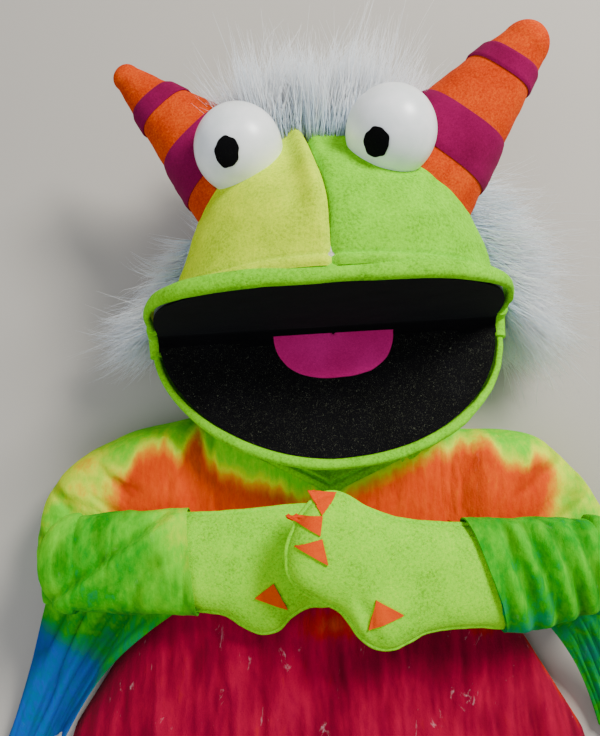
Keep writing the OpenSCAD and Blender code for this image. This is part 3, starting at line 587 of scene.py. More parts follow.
def mouth_corner(side):
    """Fleece that runs round the hinge from the upper lip to the lower one."""
    out = MOUTH_HALF + 2.6
    upper = upper_place([[out, 9, -2.6], [out + 0.4, 5, -2.6]])
    lower = lower_place([[out + 0.4, 5, -2.6], [out, 9, -2.6]])
    middle = head_place([[out + 0.6, 1.2, -0.4]])
    path = smooth_path(np.concatenate([upper, middle, lower]), 26)
    if side == LEFT:
        path = path - 2 * ((path - hinge) @ ACROSS)[:, None] * ACROSS
    rings = tube_rings(path, lambda s: oval(3.2 * MM, 3.0 * MM, 2.2, 20), roll_axis=ACROSS)
    piece = lofted(f"mouth_corner_{SIDES[side]}", rings, LIME)
    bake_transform(piece)
    return piece


for side in SIDES:
    mouth_corner(side)


def lining(name, place, n, material, body, node, seed):
    """Felt that covers a mouth board, slightly loose over it."""
    depth = np.linspace(0, 1, 60)[:, None] ** 0.9
    q = np.linspace(-1, 1, 120)[None, :]
    d0 = 2.6
    y = d0 + (PLATE + 0.4 - d0) * depth
    n = np.where(q < 0, n[0], n[1])
    half = (MOUTH_HALF + 0.2) * (1 - np.minimum(depth, 0.9995) ** n) ** (1 / n)
    grid = np.stack(np.broadcast_arrays(half * q, y, 0 * q), -1)
    edge = (1 - np.abs(q) ** 8) * (1 - depth ** 10) * ease(depth, 0, 0.06)
    grid[..., 2] = -1.35 + 0.22 * layers(grid, (24, 16, 24), seed) * edge
    piece = cloth(name, place(grid), 1.2 * MM, material, flip=name.startswith("lower"))
    return dress(piece, body, "black_felt", node)


lining("upper_mouth_lining", upper_place, UPPER_N, BLACK_FELT, "head", "upper_mouth_felt", 5)
lining("lower_mouth_lining", lower_place, LOWER_N, BLACK_FELT_LINTY, "jaw", "lower_mouth_felt", 6)


def mouth_fold():
    """Felt fold on the hinge line."""
    x = np.linspace(-MOUTH_HALF - 0.8, MOUTH_HALF + 0.8, 130)
    profile = np.concatenate([
        [[7, -1.15, 0], [5, -1.1, 0], [3, -0.8, 0]], [[0.9, 0.0, 2], [0.9, 0.0, 2]],
        [[3, -0.8, 1], [5, -1.1, 1], [7, -1.15, 1]]])
    rows = []
    for v, w, kind in profile:
        if kind == 0:
            rows.append(upper_place(np.stack([x, 0 * x + v, 0 * x + w], -1)))
        elif kind == 1:
            rows.append(lower_place(np.stack([x, 0 * x + v, 0 * x + w], -1)))
    upper, lower = rows[2], rows[3]
    bend = [upper * (1 - s) + lower * s - 0.35 * math.sin(math.pi * s) * MM * -ONWARD
            for s in (0.25, 0.5, 0.75)]
    grid = np.stack(rows[:3] + bend + rows[3:])
    piece = cloth("mouth_fold_felt", grid, 0.9 * MM, BLACK_FELT, flip=True)
    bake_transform(piece)
    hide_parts("mouth_crease")
    return piece


mouth_fold()


def tongue():
    """Half-round of felt sewn in at the fold, its edge lifting slightly."""
    half, depth = 30.5, 26.0
    t = np.linspace(0, np.pi, 90)[None, :]
    k = np.linspace(0, 1, 26)[:, None]
    x = 3.0 - half * spow(np.cos(t), 2 / 2.5) * k
    y = 2.6 + (depth - 2.6) * np.sin(t) ** (2 / 2.2) * k
    grid = np.stack(np.broadcast_arrays(x, y, 0 * x), -1)
    grid[..., 0] += 0.25 * grain(grid, (6, 6, 6), 3) * k
    grid[..., 1] += 0.35 * grain(grid, (5, 5, 5), 4) * k * np.sin(t)
    grid[..., 2] = 0.1 + 0.15 * grain(grid, (12, 12, 12), 8) * k - 0.25 * k ** 12
    piece = cloth("tongue_felt", lower_place(grid), 1.2 * MM, TONGUE_FELT, flip=True)
    return dress(piece, "jaw", "magenta_felt", "tongue")


tongue()


def jaw_fleece():
    """Fleece under the lower plate: full at the rim and rounded in under the chin."""
    line = plate_outline(1.0, 1.0, LOWER_N, 120, 0.0)
    line = np.concatenate([line, np.stack([np.linspace(1, -1, 42)[1:-1], np.zeros(40)], -1)])
    rows = []
    for s in np.linspace(0, 1, 26):
        a = s * np.pi / 2
        k = math.cos(a) ** 0.62 if s < 1 else 0.0
        w = -4.9 - (18 - 5.1) * math.sin(a) ** 0.9
        half = (MOUTH_HALF + LIP) * (0.34 + 0.66 * k)
        low = 4 + (30 - 4) * (1 - (0.34 + 0.66 * k))
        high = 30 + (PLATE + LIP - 30) * (0.34 + 0.66 * k)
        rows.append(np.column_stack([line[:, 0] * half, low + (high - low) * line[:, 1], np.full(len(line), w)]))
    grid = np.stack(rows)
    grid[1:, :, 2] += 0.5 * layers(grid[1:], (22, 22, 22), 12)
    outer = lower_place(grid)
    piece = cloth("jaw_fleece", outer, 1.2 * MM, LIME, wrap=True, flip=False)
    dress(piece, "jaw", "lime_fleece", "jaw_skin")
    floor_ring = grid[-1]
    k = np.linspace(1, 0.02, 12)[:, None, None]
    centre = floor_ring.mean(0)
    disc = centre + (floor_ring - centre) * k
    disc[..., 2] = floor_ring[:, 2].mean() - 0.2 * (1 - k[..., 0])
    under = cloth("jaw_under_fleece", lower_place(disc), 1.0 * MM, LIME, wrap=True)
    return dress(under, "jaw", "lime_fleece")


jaw_fleece()

# ---------------------------------------------------------------- eyes


def eye(side):
    """Painted foam ball and its hand-cut felt pupil."""
    low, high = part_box(f"eye_{SIDES[side]}")
    radius = (high.x - low.x) / 2
    centre = np.array([(low.x + high.x) / 2, (low.y + high.y) / 2, high.z - radius])
    u = np.linspace(0, np.pi, 90)[:, None]
    v = np.linspace(0, 2 * np.pi, 120, endpoint=False)[None, :]
    ball = np.stack(np.broadcast_arrays(np.sin(u) * np.cos(v), np.sin(u) * np.sin(v), np.cos(u)), -1)
    ball = ball[1:-1] * (1 + 0.0016 * grain(ball[1:-1], (0.35, 0.35, 0.35), 3 + side)[..., None])
    piece = lofted(f"eye_ball_{SIDES[side]}", centre + radius * ball, PEARL, sharp=None)
    dress(piece, "head", "foam_ball", f"eye_{SIDES[side]}")
    low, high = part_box(f"pupil_{SIDES[side]}")
    gaze = np.array([(low.x + high.x) / 2, (low.y + high.y) / 2, (low.z + high.z) / 2]) - centre
    gaze /= np.linalg.norm(gaze)
    right = np.cross([0, 1, 0], gaze)
    right /= np.linalg.norm(right)
    over = np.cross(gaze, right)
    angle = np.linspace(0, 2 * np.pi, 72, endpoint=False)[None, :]
    wobble = 1 + 0.05 * np.sin(2 * angle + 0.6 * side) + 0.03 * np.sin(5 * angle + side) + 0.02 * np.sin(9 * angle)
    k = np.linspace(0.02, 1, 14)[:, None]
    r = PUPIL_R * MM * wobble * k
    flat = np.stack(np.broadcast_arrays(r * np.cos(angle) * 0.95, r * np.sin(angle) * 1.08), -1)
    depth = np.sqrt((radius + 0.9 * MM) ** 2 - (flat ** 2).sum(-1))
    cap = centre + flat[..., :1] * right + flat[..., 1:] * over + depth[..., None] * gaze
    pupil = cloth(f"pupil_felt_{SIDES[side]}", cap, 0.9 * MM, BLACK_FELT, wrap=True, flip=False)
    return dress(pupil, "head", "black_felt", f"pupil_{SIDES[side]}")


PUPIL_R = 5.8
for side in SIDES:
    eye(side)

# ---------------------------------------------------------------- horns

HORN_ROOT = {LEFT: (-37, 73, 18), RIGHT: (42, 62, 20)}
HORN_WAY = {LEFT: (-0.70, 0.70, 0.06), RIGHT: (0.67, 0.71, 0.24)}
HORN_LENGTH = {LEFT: 84, RIGHT: 96}
HORN_BASE_R = {LEFT: 31.5, RIGHT: 34.5}
HORN_TIP_R = {LEFT: 7, RIGHT: 11.5}
HORN_FLAT = 0.75        # height of a horn's cross-section over its width
BANDS = {LEFT: [("base", 0.13, 0.41), ("tip", 0.66, 0.78)], RIGHT: [("base", 0.24, 0.50), ("tip", 0.79, 0.90)]}


def horn_surface(side, s, t, grow=0.0):
    """Points on a horn: s along it from root to tip, t round it, with the lumps of its stuffing."""
    way = np.array(HORN_WAY[side]) / np.linalg.norm(HORN_WAY[side])
    flat = np.cross(way, [0, 0, 1])
    flat /= np.linalg.norm(flat)
    rise = np.cross(flat, way)
    length = HORN_LENGTH[side] - HORN_TIP_R[side]
    radius = HORN_BASE_R[side] + (HORN_TIP_R[side] - HORN_BASE_R[side]) * np.minimum(s, 1)
    past = np.clip(s - 1, 0, 1)
    tip = HORN_TIP_R[side]
    radius = np.where(s > 1, tip * np.cos(past * np.pi / 2), radius)
    along = np.where(s > 1, length + tip * np.sin(past * np.pi / 2), s * length)
    around = np.cos(t)[..., None] * flat + HORN_FLAT * np.sin(t)[..., None] * rise
    base = np.array(HORN_ROOT[side]) + along[..., None] * way
    lumps = 0.55 * grain(base + around * 9, (13, 13, 13), 20 + side) + 0.3 * grain(base + around * 9, (5, 5, 5), 23)
    seam = -0.9 * np.exp(-((np.abs(t - 1.2 * np.pi)) / 0.05) ** 2)
    lumps = np.where(s > 1, lumps * np.cos(past * np.pi / 2), lumps)
    points = base + around * (radius + lumps + seam + grow)[..., None]
    low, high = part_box(f"eye_{SIDES[side]}")
    eye_r = (high.x - low.x) / 2
    centre = (np.array([(low.x + high.x) / 2, (low.y + high.y) / 2, high.z - eye_r]) - hinge) / MM
    centre = np.array([centre @ ACROSS, centre @ ONWARD, centre[2]])
    away = points - centre
    far = np.linalg.norm(away, axis=-1, keepdims=True)
    room = eye_r / MM + 0.4 + np.zeros_like(far) + np.asarray(grow)[..., None]
    return np.where(far < room, centre + away / far * room, points)


def horn(side):
    s = np.concatenate([np.linspace(0.02, 1, 80), 1 + np.linspace(0.05, 0.97, 16)])[:, None]
    t = np.linspace(0, 2 * np.pi, 96, endpoint=False)[None, :]
    s, t = np.broadcast_arrays(s, t)
    piece = lofted(f"horn_fleece_{SIDES[side]}", head_place(horn_surface(side, s, t)), ORANGE, sharp=None)
    dress(piece, "head", "orange_fleece", f"horn_skin_{SIDES[side]}", f"horn_fill_{SIDES[side]}")
    for word, s0, s1 in BANDS[side]:
        s, t = np.broadcast_arrays(np.linspace(s0, s1, 26)[:, None], t[:1])
        tilt = 0.022 * np.sin(t + side) + 0.006 * np.sin(3 * t)
        edge = 0.5 * np.minimum(1, 8 * np.minimum(s - s0, s1 - s) / (s1 - s0)) + 0.6
        band = cloth(f"horn_band_felt_{word}_{SIDES[side]}",
                     head_place(horn_surface(side, s + tilt, t, edge)), 0.9 * MM, MAGENTA_FELT, wrap=True)
        dress(band, "head", "magenta_felt", f"horn_band_{word}_{SIDES[side]}")


for side in SIDES:
    horn(side)

# ---------------------------------------------------------------- fur

STRAND_POINTS = 7
STRAND_R = 0.17         # half of a strand, drawn three times its real thickness so that it shows


def fur(name, roots, ways, lengths, body, material, slot_name, stands_for=(), curl=0.25, droop=0.0, seed=1):
    """Strands from roots (mm, head frame) along ways, gathered in clumps; each is a tapering three-sided thread."""
    random = np.random.default_rng(seed)
    count = len(roots)
    ways = ways / np.linalg.norm(ways, axis=1, keepdims=True)
    s = np.linspace(0, 1, STRAND_POINTS)[None, :, None]
    bend = random.normal(0, 1, (count, 1, 3)) * curl
    swing = np.stack([grain(roots, (9, 9, 9), seed + k) for k in range(3)], -1)[:, None, :] * 0.55
    line = roots[:, None] + lengths[:, None, None] * (ways[:, None] * s + (bend + swing) * s ** 2 * 0.5)
    line[..., 2] -= droop * lengths[:, None] * s[..., 0] ** 2
    leaders = random.choice(count, max(1, count // 26), replace=False)
    nearest = np.empty(count, int)
    for k in range(0, count, 2000):
        part = roots[k:k + 2000]
        nearest[k:k + 2000] = leaders[((part[:, None] - roots[leaders][None]) ** 2).sum(-1).argmin(1)]
    pull = s ** 1.5 * random.uniform(0.25, 0.85, (count, 1, 1))
    line = line * (1 - pull) + (line[nearest] + (roots - roots[nearest])[:, None] * 0.35) * pull
    line[..., 2] = np.maximum(line[..., 2], -hinge[2] / MM + 0.5)
    along = np.gradient(line, axis=1)
    along /= np.maximum(np.linalg.norm(along, axis=2, keepdims=True), 1e-9)
    helper = np.where(np.abs(along[..., 2:]) < 0.9, np.array([0, 0, 1.0]), np.array([1.0, 0, 0]))
    u = np.cross(along, helper)
    u /= np.linalg.norm(u, axis=2, keepdims=True)
    v = np.cross(along, u)
    radius = STRAND_R * (1 - 0.85 * s ** 1.5) * random.uniform(0.7, 1.3, (count, 1, 1))
    angle = np.arange(3) * 2 * np.pi / 3
    ring = line[:, :, None] + radius[:, :, None] * (np.cos(angle)[None, None, :, None] * u[:, :, None]
                                                    + np.sin(angle)[None, None, :, None] * v[:, :, None])
    per = STRAND_POINTS * 3
    starts = (np.arange(count) * per)[:, None, None]
    sides = (quads(STRAND_POINTS, 3, True)[None] + starts).reshape(-1, 4)
    caps = (np.array([[2, 1, 0], [per - 3, per - 2, per - 1]])[None] + starts).reshape(-1, 3)
    # Painted shade: the shade value is lowest at the root, where the strands crowd, and rises to the tip; the random
    # part gives each strand its own tone.
    own = random.uniform(0.0, 0.35, (count, 1, 1)) + 0.55 * np.clip(s * 1.7, 0, 1)
    shade = np.broadcast_to(own, (count, STRAND_POINTS, 3))
    piece = mesh_piece(name, head_place(ring), [sides, caps], material, {"shade": shade}, turn_out=False, sharp=None)
    return dress(piece, body, slot_name, *stands_for)


def on_head(count, h_range, t_range, seed):
    """Random roots on the head and the outward way at each."""
    random = np.random.default_rng(seed)
    h = random.uniform(*h_range, count)
    t = np.radians(random.uniform(*t_range, count))
    root = head_form(h, t, 0.3)
    step = 1e-3
    a = head_form(np.clip(h + step, 0, 0.999), t, 0.3) - root
    b = head_form(h, t + step, 0.3) - root
    n = np.cross(b, a)
    n /= np.linalg.norm(n, axis=1, keepdims=True)
    centre = np.array([0, 35, -5])
    n *= np.sign((n * (root - centre)).sum(1, keepdims=True))
    return root, n


FUR_COUNT = 4900


def fur_back_cloth(name, h_range, t_range, lift=1.4):
    """Knitted back of the fur, seen only between the strands."""
    h = np.linspace(*h_range, 40)[:, None]
    t = np.radians(np.linspace(*t_range, 70))[None, :]
    h, t = np.broadcast_arrays(h, t)
    grid = head_form(h, t, -lift) + 0.3 * grain(head_form(h, t), (8, 8, 8), 29)[..., None]
    piece = cloth(name, head_place(grid), 0.8 * MM, HIDE, flip=True)
    return dress(piece, "head", "faux_fur")


fur_back_cloth("fur_hide_crown", (0.84, 0.985), (-10, 190), 2.2)
fur_back_cloth("fur_hide_right", (0.02, 0.80), (-44, 0))
fur_back_cloth("fur_hide_left", (0.02, 0.80), (180, 222))



def patch(name, h_range, t_range, way, low, high, material, stands_for=(), droop=0.3, curl=0.3, seed=31):
    """One patch of fur: way(roots, out) gives the lie of the pile, low and high its shortest and longest strands."""
    roots, out = on_head(FUR_COUNT, h_range, t_range, seed)
    random = np.random.default_rng(seed + 1)
    lengths = low + (high - low) * random.uniform(0, 1, FUR_COUNT) ** 1.6
    lean = way(roots, out) + random.normal(0, 0.13, (FUR_COUNT, 3))
    fur(name, roots, lean, lengths, "head", material, "faux_fur", stands_for, curl=curl, droop=droop, seed=seed + 2)


def crown_way(roots, out):
    """The crown's fur stands up behind the eyes, fanning out and falling to the right."""
    x = roots[:, :1]
    return np.hstack([0.012 * x + 0.16, 1.0 + 0 * x, 0.25 + 0 * x]) + 0.35 * out


def right_way(roots, out):
    """The right side's fur sweeps outwards and down."""
    y = roots[:, 1:2]
    return np.hstack([1.0 + 0 * y, -0.62 + 0.012 * (y - 35), 0.0 * y]) + 0.3 * out


def left_way(roots, out):
    """The left side's fur sweeps outwards and down."""
    y = roots[:, 1:2]
    return np.hstack([-0.95 + 0 * y, -0.45 + 0.006 * (y - 35), 0.05 + 0 * y]) + 0.35 * out


def back_way(roots, out):
    """The back's fur lies flat towards the crown."""
    return np.hstack([roots[:, :1] * 0.008, np.ones((len(roots), 1)), np.zeros((len(roots), 1))]) + 0.35 * out


patch("crown_fur", (0.86, 0.985), (-8, 188), crown_way, 20, 44, FUR, ("fur_crown",), droop=0.2, seed=31)
patch("crown_fur_middle", (0.80, 0.985), (20, 160), crown_way, 24, 50, FUR, droop=0.15, curl=0.42, seed=131)
patch("side_fur_right", (0.02, 0.8), (-40, 0), right_way, 22, 46, FUR_ICE, ("fur_side_right",), seed=41)
patch("side_fur_right_outer", (0.02, 0.72), (-30, 2), right_way, 32, 66, FUR, curl=0.5, seed=141)
patch("side_fur_right_low", (0.0, 0.5), (-34, 4), right_way, 28, 60, FUR, curl=0.5, seed=241)
patch("side_fur_left", (0.02, 0.5), (182, 220), left_way, 16, 38, FUR, ("fur_side_left",), curl=0.4, seed=51)
patch("side_fur_left_outer", (0.0, 0.36), (180, 214), left_way, 22, 46, FUR, curl=0.5, seed=251)
patch("back_fur", (0.0, 0.9), (200, 340), back_way, 18, 30, FUR, ("fur_back",), droop=0.0, curl=0.25, seed=61)

# ---------------------------------------------------------------- neck and body sock


def fleece_tube(name, half, thick, rows, y0, y1, z, roll, seed):
    """Flattened tube of fleece along y from y0 to y1, with soft creases; roll puts it in the head's frame."""
    y = np.linspace(y0, y1, rows)
    ring = oval(half, thick, 2.4, 96)
    grid = np.stack([np.stack([ring[:, 0], np.full(96, v), ring[:, 1] + z], -1) for v in y])
    outward = np.stack([ring[:, 0] / half, 0 * ring[:, 0], ring[:, 1] / thick], -1)[None]
    grid = grid - 0.25 * np.abs(layers(grid, (16, 9, 16), seed))[..., None] * outward
    points = head_place(grid) if roll else grid * MM
    piece = cloth(name, points, 1.4 * MM, LIME, wrap=True, flip=not roll)
    return piece


low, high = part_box("neck_band")
NECK_HALF, NECK_HIGH = 50.0, (high.z - low.z) / 2 / MM
neck_z = (high.z + low.z) / 2 / MM - hinge[2] / MM
neck = fleece_tube("neck_fleece", NECK_HALF, NECK_HIGH, 60, -88, -5.5, neck_z, True, 14)
dress(neck, "neck", "lime_fleece", "neck_sock")
band = fleece_tube("neck_top_fleece", NECK_HALF - 0.2, NECK_HIGH - 0.2, 16, -5, 5, neck_z, True, 15)
dress(band, "neck_band", "lime_fleece", "neck_band")
low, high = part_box("body_sock")
sock = fleece_tube("body_sock_fleece", (high.x - low.x) / 2 / MM, (high.z - low.z) / 2 / MM - 1, 90, low.y / MM, -30,
                   (high.z + low.z) / 2 / MM - 1, False, 16)
dress(sock, "torso", "lime_fleece", "body_sock")

# ---------------------------------------------------------------- costume

GAUZE_T = 0.7
HEM_Y = -215
HALF_AT = ([HEM_Y, -150, -85, -30, 0, 24], [160, 140.8, 100, 88, 88, 68])   # half width at each y
CHEST_T = 38            # height of the costume over the table, at the middle
NECK_Y, NECK_RISE, NECK_W = -20, 34, 140    # point of the V, how far it rises, and its width


def chest_z(x, y):
    """Height of the costume's outer face over the table."""
    fall = np.interp(y, [HEM_Y, -175], [CHEST_T - 6, CHEST_T])
    k = np.minimum(np.abs(x) / np.interp(y, *HALF_AT), 1)
    return 1.6 + (fall - 1.6) * (1 - k ** 4.2) ** 0.5


def costume_front():
    """Front of the costume: crinkled gauze that falls from the neckline to the hem."""
    cols, rows = 276, 176
    u = np.linspace(-1, 1, cols)[None, :]
    v = np.linspace(0, 1, rows)[:, None]
    top = NECK_Y + NECK_RISE * np.minimum(1, np.abs(u) * 88 * 2 / NECK_W) - 1.5 * np.exp(-(u / 0.05) ** 2)
    y = HEM_Y + (top - HEM_Y) * v
    x = u * np.interp(y, *HALF_AT)
    grid = np.stack(np.broadcast_arrays(x, y, chest_z(x, y)), -1)
    n = normals(grid)
    n *= np.sign(n[..., 2:].mean())
    level = grid * [1, 1, 0]
    sway = level + np.stack([3.0 * grain(level, (60, 30, 1), 19), 0 * x, 0 * x], -1)
    broad = layers(sway, (21, 58, 1), 17, 2)
    fine = layers(sway, (4.6, 30, 1), 18, 3)
    skirt = ease(-y, 40, 85)
    edge = 1 - np.abs(u) ** 8
    lumps = layers(sway, (26, 22, 1), 21, 2)
    shift = skirt * (2.0 * broad + 0.9 * fine + 1.5 * lumps) + (1 - skirt) * (0.6 * broad + 0.5 * fine)
    grid = grid + n * (np.clip(shift, -2.6, 1.8) * edge)[..., None]
    # Painted shade: crease darkens the hollows of the crinkles, most on the skirt.
    crease = np.clip(0.35 - 0.45 * broad - 0.45 * fine - 0.3 * lumps, 0, 1) * (0.2 + 0.8 * skirt)
    piece = cloth("costume_front", grid * MM, GAUZE_T * MM, GAUZE, values={"dye": torso_dye(grid), "crease": crease},
                  flip=True)
    dress(piece, "torso", "tie_dyed_gauze", "shirt_front")
    return piece


def neck_edge(x):
    """Upper edge of the costume: the neckline between the shoulders, then the top of each shoulder."""
    x = np.abs(x)
    return np.where(x < 70, NECK_Y + NECK_RISE * x / 70,
                    np.interp(x, [70, 86, 109, 130, 145, 156], [21, 17, 12, 2, -10, -28]))


def torso_dye(p):
    """Dye of the costume at a place: crimson skirt, orange flames on the breast, yellow and lime above them."""
    x, y = p[..., 0], p[..., 1]
    level = p * [1, 1, 0]
    streak = layers(level, (3.2, 24, 1), 71, 3)
    blot = layers(level, (24, 24, 1), 75, 2)
    tongues = 7 * grain(level, (9, 400, 1), 77) + 3 * grain(level, (3.5, 60, 1), 78)
    depth = neck_edge(x) - y
    start = np.where(np.abs(x) < 70, 12, 17) + tongues + 4 * ease(np.abs(x), 85, 110)
    breast = 0.335 + 0.02 * blot + 0.33 * (1 - ease(depth, start - 12, start + 6))
    breast = breast + 0.24 * ease(np.abs(x) + 5 * blot, 112, 134)
    crimson = 0.095 + 0.04 * blot + 0.03 * streak
    crimson = crimson + 0.16 * np.exp(-((x - 2) / 16) ** 2 - ((y + 86) / 7) ** 2)
    crimson = crimson + 0.16 * np.exp(-((x - 83) / 12) ** 2 - ((y + 90) / 4) ** 2)
    rise = ease(y + 4 * streak, -74, -52)
    side_strip = 0.22 * ease(x + 0.62 * (y + 90) + 1.5 * streak, 99, 104) * ease(-y, 70, 84)
    return np.clip(crimson + side_strip + (breast - crimson) * rise, 0, 1)


def costume_back():
    """Back of the costume, flat on the table, with the same crinkles pressed out."""
    cols, rows = 160, 120
    u = np.linspace(-1, 1, cols)[None, :]
    v = np.linspace(0, 1, rows)[:, None]
    y = HEM_Y + (NECK_Y + NECK_RISE - HEM_Y) * v
    half = np.interp(y, *HALF_AT)
    grid = np.stack(np.broadcast_arrays(u * half, y, 1.0 + 0 * u), -1)
    crinkle = layers(grid, (5.2, 38, 1), 57, 3)
    grid[..., 2] = 0.95 + 0.25 * np.abs(crinkle) * (1 - np.abs(u) ** 8)
    # Painted shade: the crease value darkens the pressed crinkles.
    piece = cloth("costume_back", grid * MM, 0.6 * MM, GAUZE,
                  values={"dye": torso_dye(grid), "crease": np.clip(np.abs(crinkle), 0, 1)}, flip=True)
    dress(piece, "torso", "tie_dyed_gauze", "shirt_back")
    return piece


def collar():
    """Fleece of the neck where it shows between the lower lip and the neckline, tucked under the gauze."""
    x = np.linspace(-74, 74, 150)[None, :]
    down = np.linspace(0, 1, 40)[:, None]
    edge = NECK_Y + NECK_RISE * np.minimum(1, np.abs(x) / 70)
    y = edge - 5 + 18 * down
    z = chest_z(x, edge) - 1.3 + 2.6 * np.sin(np.pi * down) - 8 * down ** 2
    z = z - 2.2 * np.exp(-((down - 0.55) / 0.05) ** 2)
    grid = np.stack(np.broadcast_arrays(x, y, z), -1)
    grid[..., 2] += 0.5 * layers(grid, (14, 9, 14), 27) * ease(down, 0.1, 0.3)
    piece = cloth("neck_front_fleece", grid * MM, 1.4 * MM, LIME, flip=True)
    return dress(piece, "torso", "lime_fleece")


costume_front()
costume_back()
collar()

# ---------------------------------------------------------------- arms

SHOULDER = np.array([116.0, -14.0])
ELBOW = np.array([130.0, -52.0])
SHOULDER_R, ELBOW_R = 14.0, 22.0
SLEEVE_TOP = 39.0
YOKE_TOP = 40.3         # height of the gauze over the shoulders


def side_points(grid, side):
    """Mirrors points built for the right side onto the left one."""
    return grid * np.array([side, 1, 1])


def upper_sleeve(side):
    """Sleeve from the shoulder to the fold at the elbow: a soft envelope with wrinkles across it."""
    axis = ELBOW - SHOULDER
    length = np.linalg.norm(axis)
    way = axis / length
    across = np.array([-way[1], way[0]])
    rows, cols = 110, 130
    s = np.linspace(0, 1, rows)
    total = SHOULDER_R + length + ELBOW_R
    p = -SHOULDER_R + total * (0.5 - 0.5 * np.cos(np.pi * s))
    rings = []
    angle = np.linspace(0, 2 * np.pi, cols, endpoint=False)
    for d in p:
        if d < 0:
            half = math.sqrt(max(SHOULDER_R ** 2 - d ** 2, 0.04))
        elif d > length:
            half = math.sqrt(max(ELBOW_R ** 2 - (d - length) ** 2, 0.04))
        else:
            half = SHOULDER_R + (ELBOW_R - SHOULDER_R) * d / length
        full = min(1.0, (half / SHOULDER_R) ** 0.8)
        high = (SLEEVE_TOP / 2 - 0.4) * full
        across_size = half * spow(np.cos(angle), 2 / 2.5)
        up_size = high * spow(np.sin(angle), 2 / 2.5)
        xy = SHOULDER + way * d + across_size[:, None] * across
        rings.append(np.column_stack([xy, SLEEVE_TOP / 2 + up_size]))
    rings = np.stack(rings)
    centre = np.array([*(SHOULDER + way * length / 2), SLEEVE_TOP / 2])
    inward = centre - rings
    inward /= np.linalg.norm(inward, axis=-1, keepdims=True)
    wrinkle = np.abs(layers(rings, (26, 8, 20), 81 + side, 3))
    rings = rings + inward * (1.5 * wrinkle)[..., None]
    rings[..., 2] = np.maximum(rings[..., 2], 0.4)
    dye = sleeve_dye(side_points(rings, side), side)
    # Painted shade: the crease value darkens the sleeve where its wrinkles sink in.
    piece = lofted(f"sleeve_gauze_{SIDES[side]}", side_points(rings, side) * MM, GAUZE,
                   {"dye": dye, "crease": np.clip(wrinkle, 0, 1)})
    arm = f"arm_{SIDES[side]}"
    dress(piece, arm, "tie_dyed_gauze", f"sleeve_{SIDES[side]}", f"upper_arm_skin_{SIDES[side]}",
          f"upper_arm_fill_{SIDES[side]}")
    return piece


def shoulder_dye(p, side):
    """Dye over the elbow: yellow and lime at the fold, green further down."""
    y = p[..., 1]
    blot = layers(p, (16, 16, 16), 95 + side, 2)
    streak = layers(p, (18, 4, 18), 91 + side, 3)
    return np.clip(0.585 + 0.16 * ease(-y + 6 * blot, 18, 70) + 0.03 * streak + 0.04 * blot, 0, 1)


def sleeve_dye(p, side):
    """Dye of a lower sleeve at a place: lime at the wrist through green to blue at the wide end."""
    x, y = np.abs(p[..., 0]), p[..., 1]
    streak = layers(p, (9, 9, 9), 91 + side, 3)
    blot = layers(p, (24, 24, 24), 95 + side, 2)
    if side == LEFT:
        base = 0.69 + 0.06 * ease(x + 0.5 * (-y - 52) + 8 * blot, 72, 105) + 0.03 * blot
        base = base + 0.07 * ease(-y, 66, 100) - 0.09 * ease(x + y + 8 * blot, 86, 104) * ease(x, 112, 126)
        blue = ease(0.75 * (x - 137) + 0.66 * (-y - 98) + 7 * blot, -9, 9) * ease(x + 6 * blot, 118, 132)
        base = base + (0.975 - base) * blue
    else:
        base = 0.745 + 0.03 * blot + 0.02 * streak + 0.05 * ease(-y, 50, 90)
        base = base + 0.10 * ease(-y + 8 * streak, 70, 110) * ease(-x, -122, -100)
    return np.clip(base + 0.02 * streak, 0.4, 1.0)


for side in SIDES:
    upper_sleeve(side)

# The shoulder's gauze from the neck to the elbow: its outline, and the line where the forearm covers it.
YOKE_OUT = {
    LEFT: [(56, 7), (61, 13), (66, 20.5), (76, 19.5), (86, 17), (98, 14.5), (109, 11.5), (120, 6.5),
           (130, 1.5), (139, -5), (146, -12), (152, -22), (155.5, -33), (157, -46), (156, -60), (153, -76)],
    RIGHT: [(53, 6), (56, 10), (61, 12.5), (70, 13), (80, 13), (92, 13), (103, 12), (113, 9.5),
           (121, 4), (129, -4), (137, -12), (143, -22), (149, -33), (153, -46), (154, -60), (152, -76)],
}
YOKE_IN = [(52, -30), (56, -32), (62, -34), (69, -36), (76, -38), (84, -41), (92, -44), (99, -47), (106, -49),
           (112, -51), (117, -53), (121, -55), (124, -58), (125, -62), (124, -67), (121, -74)]


